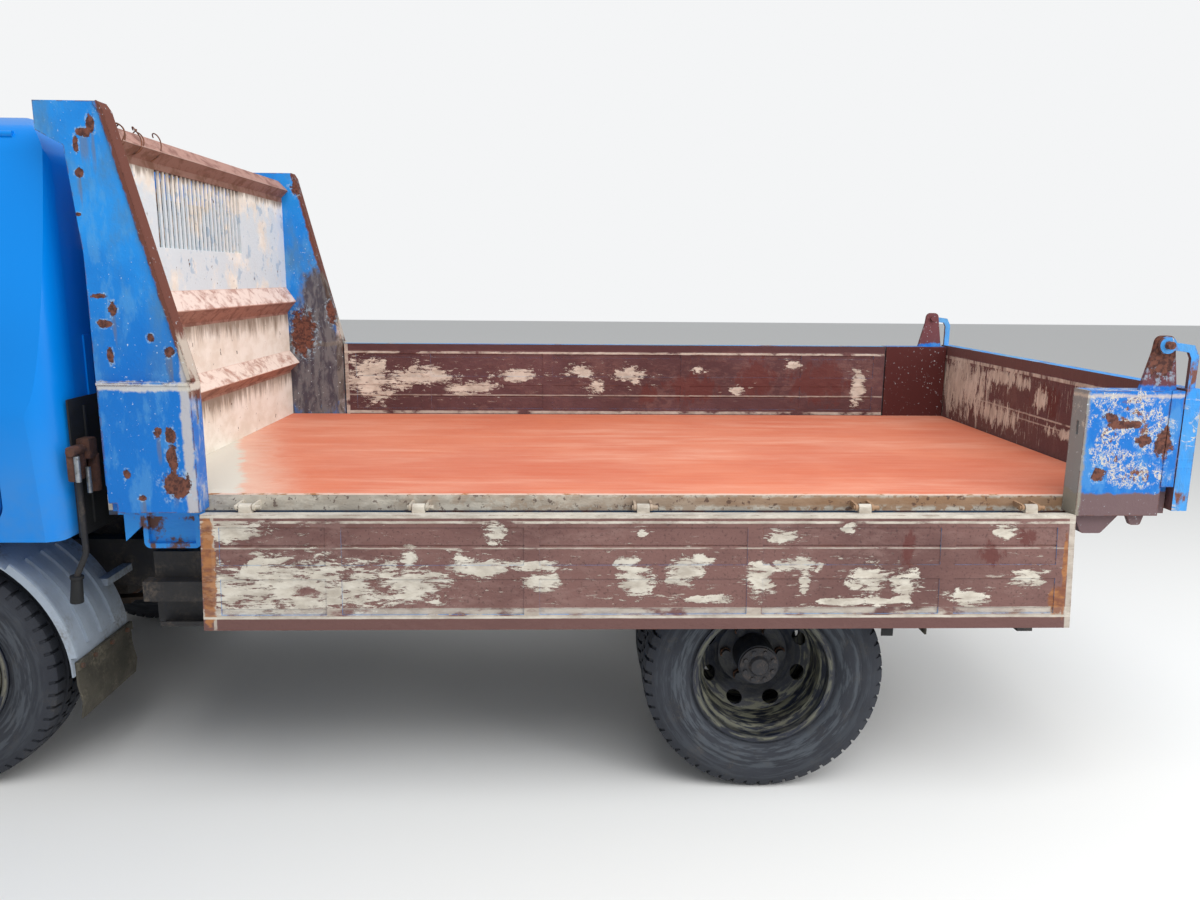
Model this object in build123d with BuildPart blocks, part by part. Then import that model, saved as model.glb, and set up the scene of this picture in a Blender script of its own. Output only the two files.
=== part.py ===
from build123d import *
import math
import os

# A two-tonne cab-over tipping truck with its left side gate lowered.
# Millimetres. X is the truck's left, Y runs to the rear, Z is up from the ground.

# Driving sizes of the whole truck
wheelbase = 2500
front_overhang = 1065
headboard_to_rear_axle = 1875
bed_length = 3030
bed_width = 1600
floor_z = 930
side_height = 323
moving_gap = 5
seat_gap = 0.3
tailgate_thickness = 45

# Stations along the truck, counted from its mid-length
truck_length = (
    front_overhang + wheelbase - headboard_to_rear_axle
    + bed_length + moving_gap + tailgate_thickness
)
front_y = -truck_length / 2
front_axle_y = front_y + front_overhang
rear_axle_y = front_axle_y + wheelbase
headboard_y = rear_axle_y - headboard_to_rear_axle
bed_end_y = headboard_y + bed_length
bed_half = bed_width / 2

# Wheels and tyres
tyre_radius = 368
tyre_width = 196
tyre_bead_radius = 207.5
flange_radius = 221
front_track = 1390
rear_track = 1240
dual_spacing = 226
disc_offset = 109
disc_thickness = 8
rim_sheet = 7
hub_radius = 60
hand_hole_count = 8
hand_hole_ring = 154
hand_hole_long = 27
hand_hole_short = 19
stud_count = 6

# Ladder frame
frame_half = 350
rail_flange = 60
rail_height = 165
rail_top_z = 665
rail_sheet = 6
rail_front_behind_bumper = 115
rail_front_y = front_y + rail_front_behind_bumper
sub_frame_height = 80

# Steering and front axle
kingpin_x = 600
kingpin_radius = 14
pin_gap = 0.3
steering_arm = 130
tie_rod_z = 284
tie_rod_radius = 13

# Tipping hinge and hoist
tip_hinge_z = 705
tip_hinge_before_end = 145
tip_hinge_y = bed_end_y - tip_hinge_before_end
tip_pin_radius = 20
hinge_eye_radius = 40
hoist_base_before_hinge = 1940
hoist_base_z = 560
hoist_eye_before_hinge = 1040
hoist_eye_z = 795
barrel_radius = 52
rod_radius = 26
hoist_pin_radius = 16
hoist_base_y = tip_hinge_y - hoist_base_before_hinge
hoist_eye_y = tip_hinge_y - hoist_eye_before_hinge

# Tipping body
floor_sheet = 6
bearer_height = 74
sill_height = 100
wall = 50
side_rail_depth = 60
side_rail_width = 24
gate_thickness = 45
gate_pin_x = 842.5
gate_pin_z = 905
gate_pin_radius = 6
gate_ear_radius = 9.5
gate_lean = 5
corner_box_length = 250
corner_box_width = 70
rear_post_length = 280
headboard_top_z = 1950
guard_top_z = 1998
tailgate_pin_z = 1382
tailgate_pin_before_end = 60
tailgate_pin_radius = 11

# Cab
cab_front_gap = 50
cab_length = 1500
cab_half = 845
cab_top_z = 1995
cab_floor_z = 800
cab_sill_z = 712
cab_sill_length = 420
cab_wall = 38
cab_glass = 6
door_gap = 10
cab_hinge_z = 620
cab_hinge_behind_front = 75
cab_hinge_radius = 12

rear_face_y = bed_end_y + moving_gap + tailgate_thickness
gate_start_y = headboard_y + corner_box_length - 10 + 6
gate_end_y = bed_end_y - rear_post_length - 6
side_top_z = floor_z + side_height
rail_rear_y = tip_hinge_y + hinge_eye_radius
sub_frame_z0 = rail_top_z + seat_gap
sub_frame_z1 = rail_top_z + sub_frame_height
bearer_z0 = floor_z - floor_sheet - bearer_height
sill_z0 = bearer_z0 - sill_height
cab_front_y = front_y + cab_front_gap
cab_rear_y = cab_front_y + cab_length


def side_plane(x):
    """Plane seen from the truck's left, with local x along Y and local y up."""
    return Plane(origin=(x, 0, 0), x_dir=(0, 1, 0), z_dir=(1, 0, 0))


def cross_plane(y):
    """Plane across the truck, with local x along X and local y up; its normal faces forward."""
    return Plane(origin=(0, y, 0), x_dir=(1, 0, 0), z_dir=(0, -1, 0))


def level_plane(z):
    return Plane.XY.offset(z)


def block(x0, x1, y0, y1, z0, z1, mode=Mode.ADD):
    with Locations(((x0 + x1) / 2, (y0 + y1) / 2, (z0 + z1) / 2)):
        Box(abs(x1 - x0), abs(y1 - y0), abs(z1 - z0), mode=mode)


def prism(plane, points, depth, mode=Mode.ADD, radius=0):
    """A straight-sided outline, its corners rounded where a radius is given, pushed along a plane's normal."""
    with BuildSketch(plane) as outline:
        with BuildLine():
            FilletPolyline(*points, radius=radius, close=True)
        make_face()
    extrude(outline.sketch, amount=depth, mode=mode)


def rod(start, end, radius, mode=Mode.ADD):
    """A round bar from one point to another."""
    run = Vector(*end) - Vector(*start)
    with BuildSketch(Plane(origin=start, z_dir=run)) as section:
        Circle(radius)
    extrude(section.sketch, amount=run.length, mode=mode)


def ring(start, end, outer, inner):
    """A tube's length, with its bore cleared of what is there already."""
    rod(start, end, outer)
    rod(start, end, inner, mode=Mode.SUBTRACT)


def strip(points, thickness):
    """Closed outline of a bent sheet, from the line along its middle."""
    left = []
    right = []
    for i, (u, v) in enumerate(points):
        before = points[max(i - 1, 0)]
        after = points[min(i + 1, len(points) - 1)]
        first = math.atan2(v - before[1], u - before[0])
        second = math.atan2(after[1] - v, after[0] - u)
        if i == 0:
            first = second
        if i == len(points) - 1:
            second = first
        middle = math.atan2(
            math.sin(first) + math.sin(second), math.cos(first) + math.cos(second)
        )
        reach = thickness / 2 / math.cos(middle - first)
        left.append((u - reach * math.sin(middle), v + reach * math.cos(middle)))
        right.append((u + reach * math.sin(middle), v - reach * math.cos(middle)))
    return left + right[::-1]


def arc_strip(centre_y, centre_z, inner, outer, start, end, x0, x1, mode=Mode.ADD):
    """A curved sheet across the truck, between two angles counted from the rear upwards."""
    def at(radius, angle):
        turn = math.radians(angle)
        return (centre_y + radius * math.cos(turn), centre_z + radius * math.sin(turn))
    middle = (start + end) / 2
    with BuildSketch(side_plane(x0)) as outline:
        with BuildLine():
            ThreePointArc(at(outer, start), at(outer, middle), at(outer, end))
            Line(at(outer, end), at(inner, end))
            ThreePointArc(at(inner, end), at(inner, middle), at(inner, start))
            Line(at(inner, start), at(outer, start))
        make_face()
    extrude(outline.sketch, amount=x1 - x0, mode=mode)


def both_sides(left_half):
    """The left piece and its mirror on the right."""
    add(left_half)
    mirror(left_half, about=Plane.YZ)


# Ladder frame: two channels open inwards, joined by pressed cross members
rail_z0 = rail_top_z - rail_height
rail_inner = frame_half - rail_flange
cross_member_rows = [-2150, -400, 90, 1640, 2170]
cross_member_half = 30
cross_member_end = frame_half - rail_sheet - seat_gap
# each row: axle station, half length between spring eyes, eye height, seat height
spring_rows = [
    (front_axle_y, 480, 455, 400),
    (rear_axle_y, 530, 470, 424),
]
spring_x = frame_half - rail_flange / 2
spring_half = 23
hanger_sheet = 7
spring_eye_radius = 20
spring_pin_radius = 10
cab_hinge_y = front_y + cab_hinge_behind_front
tow_eye_y = front_y + 93
tow_eye_z = 348
tow_eye_radius = 15
tow_lug_x = 300
tow_lug_sheet = 14
cab_leg_x = frame_half + 8
cab_leg_sheet = 16
engine_half = 250
engine_z0 = 425
engine_z1 = 780
engine_front_y = front_axle_y - 560
engine_rear_y = front_axle_y + 330
gearbox_rear_y = engine_rear_y + 480

with BuildPart() as left_rail:
    prism(
        cross_plane(rail_rear_y),
        [
            (frame_half, rail_z0),
            (frame_half, rail_top_z),
            (rail_inner, rail_top_z),
            (rail_inner, rail_top_z - rail_sheet),
            (frame_half - rail_sheet, rail_top_z - rail_sheet),
            (frame_half - rail_sheet, rail_z0 + rail_sheet),
            (rail_inner, rail_z0 + rail_sheet),
            (rail_inner, rail_z0),
        ],
        rail_rear_y - rail_front_y,
    )
    for axle_y, half_length, eye_z, seat_z in spring_rows:
        for eye_y in (axle_y - half_length, axle_y + half_length):
            for inner_x in (spring_x - spring_half - 1 - hanger_sheet, spring_x + spring_half + 1):
                prism(
                    side_plane(inner_x),
                    [
                        (eye_y - 45, rail_z0 + rail_sheet),
                        (eye_y - 18, eye_z - 18),
                        (eye_y + 18, eye_z - 18),
                        (eye_y + 45, rail_z0 + rail_sheet),
                    ],
                    hanger_sheet,
                )
            rod(
                (spring_x - spring_half - hanger_sheet, eye_y, eye_z),
                (spring_x + spring_half + hanger_sheet, eye_y, eye_z),
                spring_pin_radius,
            )
    for mount_y in (engine_front_y + 150, engine_rear_y - 150):
        block(
            engine_half + seat_gap, frame_half - rail_sheet,
            mount_y - 40, mount_y + 40, rail_z0 + 60, rail_z0 + 100,
        )
    # plate on the rail's front end, with the pin that the cab tilts on
    prism(
        side_plane(frame_half - 12),
        [
            (cab_hinge_y - 28, rail_z0 + 60),
            (cab_hinge_y - 28, rail_top_z),
            (rail_front_y + 160, rail_top_z),
            (rail_front_y + 160, rail_z0),
            (rail_front_y, rail_z0),
        ],
        12,
        radius=[20, 20, 0, 0, 30],
    )
    rod(
        (frame_half - 12, cab_hinge_y, cab_hinge_z),
        (cab_leg_x + cab_leg_sheet + 8, cab_hinge_y, cab_hinge_z), cab_hinge_radius,
    )
    # towing lug below the rail's front end
    prism(
        side_plane(tow_lug_x),
        [
            (tow_eye_y - 30, tow_eye_z - 30), (tow_eye_y + 30, tow_eye_z - 30),
            (tow_eye_y + 142, rail_z0 + 2), (tow_eye_y + 37, rail_z0 + 2), (tow_eye_y - 30, tow_eye_z + 15),
        ],
        tow_lug_sheet,
        radius=[26, 26, 0, 0, 24],
    )
    rod(
        (tow_lug_x - 2, tow_eye_y, tow_eye_z), (tow_lug_x + tow_lug_sheet + 2, tow_eye_y, tow_eye_z),
        tow_eye_radius, mode=Mode.SUBTRACT,
    )

with BuildPart() as frame:
    both_sides(left_rail.part)
    for member_y in cross_member_rows:
        block(
            -cross_member_end, cross_member_end,
            member_y - cross_member_half, member_y + cross_member_half,
            rail_z0 + 30, rail_top_z - 12,
        )
        block(
            -rail_inner + 10, rail_inner - 10,
            member_y - cross_member_half + rail_sheet, member_y + cross_member_half,
            rail_z0 + 30 + rail_sheet, rail_top_z - 12 - rail_sheet, mode=Mode.SUBTRACT,
        )

# Tipping sub-frame: channels on the rails, with the hinge shaft through their rear ends
sub_member_rows = [headboard_y + 60, hoist_base_y - 20, 1500]
with BuildPart() as left_sub_rail:
    prism(
        side_plane(rail_inner),
        [
            (headboard_y + 20, sub_frame_z0),
            (headboard_y + 60, sub_frame_z1),
            (tip_hinge_y + hinge_eye_radius, sub_frame_z1),
            (tip_hinge_y + hinge_eye_radius, sub_frame_z0),
        ],
        rail_flange,
        radius=[0, 0, hinge_eye_radius - 1, 0],
    )
    block(
        rail_inner, frame_half - rail_sheet,
        headboard_y + 100, tip_hinge_y - 120,
        sub_frame_z0 + rail_sheet, sub_frame_z1 - rail_sheet, mode=Mode.SUBTRACT,
    )

with BuildPart() as sub_frame:
    both_sides(left_sub_rail.part)
    for member_y in sub_member_rows:
        block(
            -frame_half + rail_sheet / 2, frame_half - rail_sheet / 2,
            member_y - 30, member_y + 30, sub_frame_z0 + 4, sub_frame_z1 - 4,
        )
    # hoist base: two ears under the second cross member
    for ear_x in (-50, 34):
        prism(
            side_plane(ear_x),
            [
                (hoist_base_y - 55, sub_frame_z0 + 4),
                (hoist_base_y - 24, hoist_base_z - 28),
                (hoist_base_y + 24, hoist_base_z - 28),
                (hoist_base_y + 12, sub_frame_z0 + 4),
            ],
            16,
        )
    rod((-50, hoist_base_y, hoist_base_z), (50, hoist_base_y, hoist_base_z), hoist_pin_radius)
    # hinge shaft across both rails, with its free ends outside them
    rod((-385, tip_hinge_y, tip_hinge_z), (385, tip_hinge_y, tip_hinge_z), tip_pin_radius)

# Engine and gearbox as one plain block under the cab
with BuildPart() as engine_block:
    block(-engine_half, engine_half, engine_front_y, engine_rear_y, engine_z0, engine_z1)
    block(-130, 130, engine_rear_y, gearbox_rear_y, engine_z0 + 10, engine_z0 + 230)

# Front axle: a forged beam with a drop centre and a boss at each kingpin
wheel_z = tyre_radius
boss_half = 48
with BuildPart() as front_axle:
    beam_points = [
        (-kingpin_x + 20, wheel_z - 20),
        (-400, wheel_z - 20),
        (-250, wheel_z - 34),
        (250, wheel_z - 34),
        (400, wheel_z - 20),
        (kingpin_x - 20, wheel_z - 20),
        (kingpin_x - 20, wheel_z + 31.7),
        (270, wheel_z + 31.7),
        (200, wheel_z + 14),
        (-200, wheel_z + 14),
        (-270, wheel_z + 31.7),
        (-kingpin_x + 20, wheel_z + 31.7),
    ]
    prism(cross_plane(front_axle_y + 32), beam_points, 64)
    for side in (-1, 1):
        for face_y in (front_axle_y - 32, front_axle_y + 10):
            block(
                side * 380, side * 540, face_y, face_y + 22,
                wheel_z - 8, wheel_z + 20, mode=Mode.SUBTRACT,
            )
        ring(
            (side * kingpin_x, front_axle_y, wheel_z - boss_half),
            (side * kingpin_x, front_axle_y, wheel_z + boss_half),
            28, kingpin_radius + pin_gap,
        )

# Rear axle: housing with its round centre, spindles and the propeller shaft to the gearbox
axle_tube_radius = 45
drum_radius = 160
drum_back_x = rear_track / 2 - 175
shaft_front_y = gearbox_rear_y + 3
with BuildPart() as rear_axle:
    rod((-drum_back_x + 12, rear_axle_y, wheel_z), (drum_back_x - 12, rear_axle_y, wheel_z), axle_tube_radius)
    with Locations((0, rear_axle_y, wheel_z)):
        Sphere(140)
    for side in (-1, 1):
        rod(
            (side * (drum_back_x - 14), rear_axle_y, wheel_z),
            (side * (drum_back_x - 4), rear_axle_y, wheel_z),
            drum_radius - 16,
        )
        rod(
            (side * (drum_back_x - 14), rear_axle_y, wheel_z),
            (side * (rear_track / 2 + 60), rear_axle_y, wheel_z),
            34,
        )
        block(
            side * (spring_x - 30), side * (spring_x + 30), rear_axle_y - 55, rear_axle_y + 55,
            wheel_z, spring_rows[1][3] - seat_gap,
        )
    rod((0, rear_axle_y - 110, wheel_z + 10), (0, rear_axle_y - 220, wheel_z + 16), 60)
    rod((0, rear_axle_y - 215, wheel_z + 16), (0, shaft_front_y, engine_z0 + 70), 36)

# Leaf springs: four packs of four leaves between the frame's hangers
leaf_thickness = 10
leaf_count = 4
with BuildPart() as leaf_springs:
    for axle_y, half_length, eye_z, seat_z in spring_rows:
        main_z = seat_z + leaf_thickness * leaf_count - leaf_thickness / 2
        rise = eye_z - main_z
        bend = (half_length ** 2 + rise ** 2) / (2 * rise)
        centre_z = main_z + bend
        for side in (-1, 1):
            x0 = side * spring_x - spring_half
            x1 = side * spring_x + spring_half
            for i in range(leaf_count):
                leaf_half = half_length * (1 - 0.2 * i)
                swing = math.degrees(math.asin(leaf_half / bend))
                inner = bend + leaf_thickness * (i - 0.5)
                arc_strip(
                    axle_y, centre_z, inner, inner + leaf_thickness,
                    -90 - swing, -90 + swing, x0, x1,
                )
            for eye_y in (axle_y - half_length, axle_y + half_length):
                ring((x0, eye_y, eye_z), (x1, eye_y, eye_z), spring_eye_radius - 4, spring_pin_radius + pin_gap)

# Fuel tank and exhaust on the right side of the frame
with BuildPart() as fuel_tank:
    prism(
        side_plane(-frame_half - 370),
        [(-640, 400), (-40, 400), (-40, 655), (-640, 655)],
        340,
        radius=45,
    )
    for strap_y in (-560, -140):
        block(-frame_half - 40, -frame_half - seat_gap, strap_y - 20, strap_y + 20, rail_z0 + 20, rail_top_z - 30)

with BuildPart() as exhaust:
    rod((-470, 140, 470), (-470, 560, 470), 75)
    rod((-470, 560, 470), (-470, 700, 470), 24)
    rod((-470, 40, 470), (-470, 140, 470), 24)
    for strap_y in (200, 500):
        block(-frame_half - 110, -frame_half - seat_gap, strap_y - 15, strap_y + 15, rail_z0 + 20, rail_z0 + 60)

# Battery box on the left side, with its pale-edged guard rail
battery_front_y = headboard_y + 20
battery_rear_y = headboard_y + 620
battery_face_x = 780
with BuildPart() as battery_box:
    block(frame_half + seat_gap, battery_face_x - 40, battery_front_y + 20, battery_rear_y, 520, 742)
    prism(
        cross_plane(battery_rear_y),
        strip([(battery_face_x - 42, 659), (battery_face_x, 659), (battery_face_x, 603), (battery_face_x - 42, 603)], 5),
        battery_rear_y - battery_front_y,
    )
    prism(
        cross_plane(battery_rear_y),
        strip([(battery_face_x - 42, 522), (battery_face_x - 8, 522), (battery_face_x - 8, 534)], 5),
        battery_rear_y - battery_front_y - 40,
    )

# Knuckles with kingpin, spindle and steering arm
knuckle_plate_x = kingpin_x + 36
spindle_end_x = front_track / 2 + 60
ear_clear = 2
ear_thickness = 20
with BuildPart() as knuckle_left:
    for ear_z in (wheel_z + boss_half + ear_clear, wheel_z - boss_half - ear_clear - ear_thickness):
        rod((kingpin_x, front_axle_y, ear_z), (kingpin_x, front_axle_y, ear_z + ear_thickness), 30)
        block(
            kingpin_x, knuckle_plate_x + 8, front_axle_y - 30, front_axle_y + 30,
            ear_z, ear_z + ear_thickness,
        )
    block(
        knuckle_plate_x, knuckle_plate_x + 16, front_axle_y - 45, front_axle_y + 45,
        wheel_z - boss_half - ear_clear - ear_thickness, wheel_z + boss_half + ear_clear + ear_thickness,
    )
    rod(
        (kingpin_x, front_axle_y, wheel_z - boss_half - ear_clear - ear_thickness),
        (kingpin_x, front_axle_y, wheel_z + boss_half + ear_clear + ear_thickness),
        kingpin_radius,
    )
    rod((knuckle_plate_x + 8, front_axle_y, wheel_z), (spindle_end_x, front_axle_y, wheel_z), 24)
    arm_z = tie_rod_z + 14
    prism(
        level_plane(arm_z),
        [
            (kingpin_x - 20, front_axle_y),
            (kingpin_x + 24, front_axle_y),
            (kingpin_x + 18, front_axle_y + steering_arm + 18),
            (kingpin_x - 18, front_axle_y + steering_arm + 18),
        ],
        ear_thickness,
        radius=[0, 0, 16, 16],
    )
    rod(
        (kingpin_x, front_axle_y + steering_arm, tie_rod_z - 16),
        (kingpin_x, front_axle_y + steering_arm, arm_z + 5),
        10,
    )
with BuildPart() as knuckle_right:
    mirror(knuckle_left.part, about=Plane.YZ)

with BuildPart() as tie_rod:
    rod(
        (-kingpin_x + 20, front_axle_y + steering_arm, tie_rod_z),
        (kingpin_x - 20, front_axle_y + steering_arm, tie_rod_z),
        tie_rod_radius,
    )
    for side in (-1, 1):
        ring(
            (side * kingpin_x, front_axle_y + steering_arm, tie_rod_z - 12),
            (side * kingpin_x, front_axle_y + steering_arm, tie_rod_z + 12),
            23, 10 + pin_gap,
        )


# Wheels: profiles turned about the axle, u outwards and v away from the axis
def wheel_plane(x, y):
    return Plane(origin=(x, y, wheel_z), x_dir=(1, 0, 0), z_dir=(0, -1, 0))


def turned(x, y, outline, mode=Mode.ADD):
    with BuildSketch(wheel_plane(x, y)) as section:
        Polygon(*outline, align=None)
    revolve(section.sketch, axis=Axis((x, y, wheel_z), (1, 0, 0)), mode=mode)


groove_half = 4
groove_depth = 9
half_width = tyre_width / 2
tyre_outline = [
    (-71, tyre_bead_radius),
    (-71, flange_radius + 3),
    (-83, flange_radius + 14),
    (-half_width, 278),
    (-half_width + 1, 302),
    (-half_width + 7, tyre_radius - 24),
    (-half_width + 20, tyre_radius - 5),
    (-42, tyre_radius - 1),
    (-38, tyre_radius - groove_depth),
    (-30, tyre_radius - groove_depth),
    (-26, tyre_radius),
    (-groove_half, tyre_radius),
    (-groove_half, tyre_radius - groove_depth),
    (groove_half, tyre_radius - groove_depth),
    (groove_half, tyre_radius),
    (26, tyre_radius),
    (30, tyre_radius - groove_depth),
    (38, tyre_radius - groove_depth),
    (42, tyre_radius - 1),
    (half_width - 20, tyre_radius - 5),
    (half_width - 7, tyre_radius - 24),
    (half_width - 1, 302),
    (half_width, 278),
    (83, flange_radius + 14),
    (71, flange_radius + 3),
    (71, tyre_bead_radius),
]
barrel_line = [
    (75, flange_radius - 3),
    (75, 203.6),
    (48, 203),
    (28, 190),
    (-28, 190),
    (-48, 203),
    (-75, 203.6),
    (-75, flange_radius - 3),
]
disc_line = [
    (-24, 188),
    (-62, 182),
    (-98, 130),
    (-disc_offset, 112),
    (-disc_offset, hub_radius + 4),
]


def rim(x, y, facing):
    """One wheel: its barrel, and its disc dished away from the side it faces."""
    turned(x, y, strip(barrel_line, rim_sheet))
    turned(x, y, [(facing * u, v) for u, v in strip(disc_line, disc_thickness)])
    for i in range(hand_hole_count):
        turn = math.radians(360 / hand_hole_count * (i + 0.5))
        centre = (
            x - facing * 40,
            y + hand_hole_ring * math.cos(turn),
            wheel_z + hand_hole_ring * math.sin(turn),
        )
        across = (0, -math.sin(turn), math.cos(turn))
        with BuildSketch(Plane(origin=centre, x_dir=across, z_dir=(-facing, 0, 0))) as hole:
            Ellipse(hand_hole_long, hand_hole_short)
        extrude(hole.sketch, amount=85, mode=Mode.SUBTRACT)


def studs(x, y, facing, reach):
    for i in range(stud_count):
        turn = math.radians(360 / stud_count * i)
        start = (x, y + 88 * math.cos(turn), wheel_z + 88 * math.sin(turn))
        end = (x + facing * reach, start[1], start[2])
        rod(start, end, 14)


front_wheel_x = front_track / 2
rear_outer_x = rear_track / 2 + dual_spacing / 2
rear_inner_x = rear_track / 2 - dual_spacing / 2

with BuildPart() as rim_front_left:
    rim(front_wheel_x, front_axle_y, -1)
    # hub, its flange behind the disc, and the brake drum
    face_x = front_wheel_x + disc_offset - disc_thickness / 2
    rod((front_wheel_x - 24, front_axle_y, wheel_z), (face_x + 34, front_axle_y, wheel_z), hub_radius + 4)
    rod((face_x - 12, front_axle_y, wheel_z), (face_x, front_axle_y, wheel_z), 108)
    studs(face_x, front_axle_y, 1, 24)
    turned(
        front_wheel_x, front_axle_y,
        strip([(-34, drum_radius - 6), (22, drum_radius - 6), (22, hub_radius - 4)], 10),
    )
    rod(
        (front_wheel_x - 30, front_axle_y, wheel_z),
        (spindle_end_x + 2, front_axle_y, wheel_z), 24 + pin_gap, mode=Mode.SUBTRACT,
    )
with BuildPart() as rim_front_right:
    mirror(rim_front_left.part, about=Plane.YZ)

with BuildPart() as tyre_front_left:
    turned(front_wheel_x, front_axle_y, tyre_outline)
with BuildPart() as tyre_front_right:
    mirror(tyre_front_left.part, about=Plane.YZ)

with BuildPart() as rims_rear_left:
    rim(rear_outer_x, rear_axle_y, 1)
    rim(rear_inner_x, rear_axle_y, -1)
    dual_x = rear_track / 2
    rod((drum_back_x + 20, rear_axle_y, wheel_z), (dual_x + 112, rear_axle_y, wheel_z), hub_radius + 4)
    rod((dual_x - 20, rear_axle_y, wheel_z), (dual_x - 8, rear_axle_y, wheel_z), 108)
    studs(dual_x - 10, rear_axle_y, 1, 44)
    turned(
        dual_x, rear_axle_y,
        strip([(drum_back_x + 2 - dual_x, drum_radius - 6), (-60, drum_radius - 6), (-60, hub_radius - 4)], 10),
    )
    rod(
        (drum_back_x, rear_axle_y, wheel_z),
        (dual_x + 64, rear_axle_y, wheel_z), 34 + pin_gap, mode=Mode.SUBTRACT,
    )
with BuildPart() as rims_rear_right:
    mirror(rims_rear_left.part, about=Plane.YZ)

with BuildPart() as tyres_rear_left:
    turned(rear_outer_x, rear_axle_y, tyre_outline)
    turned(rear_inner_x, rear_axle_y, tyre_outline)
with BuildPart() as tyres_rear_right:
    mirror(tyres_rear_left.part, about=Plane.YZ)

# Front wings: liners round the front wheels, each with a step ahead and a splash guard behind
liner_radius = 422
liner_sheet = 5
liner_inner_x = 455
liner_outer_x = 800
flap_top_z = 410
with BuildPart() as left_wing:
    arc_strip(
        front_axle_y, wheel_z, liner_radius, liner_radius + liner_sheet, 0, 176,
        liner_inner_x, liner_outer_x,
    )
    # splash guard's thick outer edge, and pressed ribs down its back
    arc_strip(
        front_axle_y, wheel_z, liner_radius, liner_radius + 24, 8, 52,
        liner_outer_x - 10, liner_outer_x,
    )
    for rib_x in (520, 600, 680):
        arc_strip(
            front_axle_y, wheel_z, liner_radius + liner_sheet, liner_radius + 14, 10, 52,
            rib_x, rib_x + 26,
        )
    # brackets to the frame rail
    for bracket_angle in (28, 152):
        turn = math.radians(bracket_angle)
        bracket_y = front_axle_y + (liner_radius + 12) * math.cos(turn)
        bracket_z = wheel_z + (liner_radius + 3) * math.sin(turn)
        block(
            frame_half + seat_gap, liner_inner_x + 60,
            bracket_y - 12, bracket_y + 20, bracket_z - 12, bracket_z + 12,
        )
    # step between the bumper and the wheel
    step_front_y = front_y + 120
    step_top_z = 700
    step_rear_y = front_axle_y - liner_radius - liner_sheet - 2
    block(430, liner_outer_x + 20, step_front_y, step_rear_y + 6, 400, 430)
    block(430, 450, step_front_y, step_rear_y + 6, 400, step_top_z)
    block(430, liner_outer_x + 20, step_front_y, step_front_y + 8, 400, step_top_z)
    block(430, liner_outer_x + 20, step_rear_y - 2, step_rear_y + 6, 400, step_top_z)
    block(frame_half + seat_gap, 440, step_front_y + 60, step_front_y + 120, 520, 570)

with BuildPart() as front_wings:
    both_sides(left_wing.part)

# Mud flaps: two behind the front wheels, and what is left of two torn off behind the rear wheels
with BuildPart() as left_flaps:
    flap_y = front_axle_y + liner_radius + liner_sheet + seat_gap
    prism(
        side_plane(liner_inner_x),
        strip([(flap_y + 3, flap_top_z), (flap_y + 3, 340), (flap_y + 14, 280), (flap_y + 6, 232)], 6),
        liner_outer_x - liner_inner_x - 12,
    )
    block(
        liner_inner_x, liner_outer_x - 12, flap_y + 5, flap_y + 12, flap_top_z - 26, flap_top_z,
    )
    rear_flap_y = rear_axle_y + 480
    block(rear_inner_x - 100, rear_outer_x + 90, rear_flap_y, rear_flap_y + 6, 505, 560)
    block(frame_half + seat_gap, rear_outer_x + 90, rear_flap_y + 6, rear_flap_y + 36, 540, 580)
with BuildPart() as mud_flaps:
    both_sides(left_flaps.part)

# Front bumper with a recess for each lamp cluster
bumper_depth = 62
bumper_z0 = 380
bumper_z1 = 660
lamp_z0 = 500
lamp_z1 = 620
with BuildPart() as front_bumper:
    prism(
        level_plane(bumper_z0),
        [
            (-cab_half, front_y + 230),
            (-cab_half, front_y + 70),
            (-cab_half + 130, front_y),
            (cab_half - 130, front_y),
            (cab_half, front_y + 70),
            (cab_half, front_y + 230),
            (cab_half - 12, front_y + 230),
            (cab_half - 12, front_y + 92),
            (cab_half - 150, front_y + bumper_depth - 20),
            (-cab_half + 150, front_y + bumper_depth - 20),
            (-cab_half + 12, front_y + 92),
            (-cab_half + 12, front_y + 230),
        ],
        bumper_z1 - bumper_z0,
        radius=[0, 40, 60, 60, 40, 0, 0, 40, 60, 60, 40, 0],
    )
    for side in (-1, 1):
        block(
            side * 470, side * 690, front_y - 10, front_y + 100, lamp_z0, lamp_z1,
            mode=Mode.SUBTRACT,
        )
        block(
            side * rail_inner, side * (frame_half - 14), front_y + 30, rail_front_y - seat_gap,
            rail_z0, rail_z0 + 56,
        )
    block(-260, 260, front_y - 10, front_y + 100, 420, 470, mode=Mode.SUBTRACT)
    block(-230, 230, front_y - 10, front_y + 100, 570, 640, mode=Mode.SUBTRACT)

# Rear under-run bar below the rails, hidden behind the gate, with a lamp box at each side
bar_y = rail_rear_y - 190
bar_top_z = rail_z0 - seat_gap
with BuildPart() as rear_bumper:
    block(-640, 640, bar_y, bar_y + 50, bar_top_z - 60, bar_top_z)
    for side in (-1, 1):
        block(side * 390, side * 640, bar_y + 20, bar_y + 28, bar_top_z, bar_top_z + 90)

with BuildPart() as left_lamps:
    block(
        470 + seat_gap, 690 - seat_gap, front_y + 14, front_y + 60,
        lamp_z0 + seat_gap, lamp_z1 - seat_gap,
    )
    block(400, 630, bar_y + 28 + seat_gap, bar_y + 72, bar_top_z + 5, bar_top_z + 85)
with BuildPart() as lamps:
    both_sides(left_lamps.part)

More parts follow.
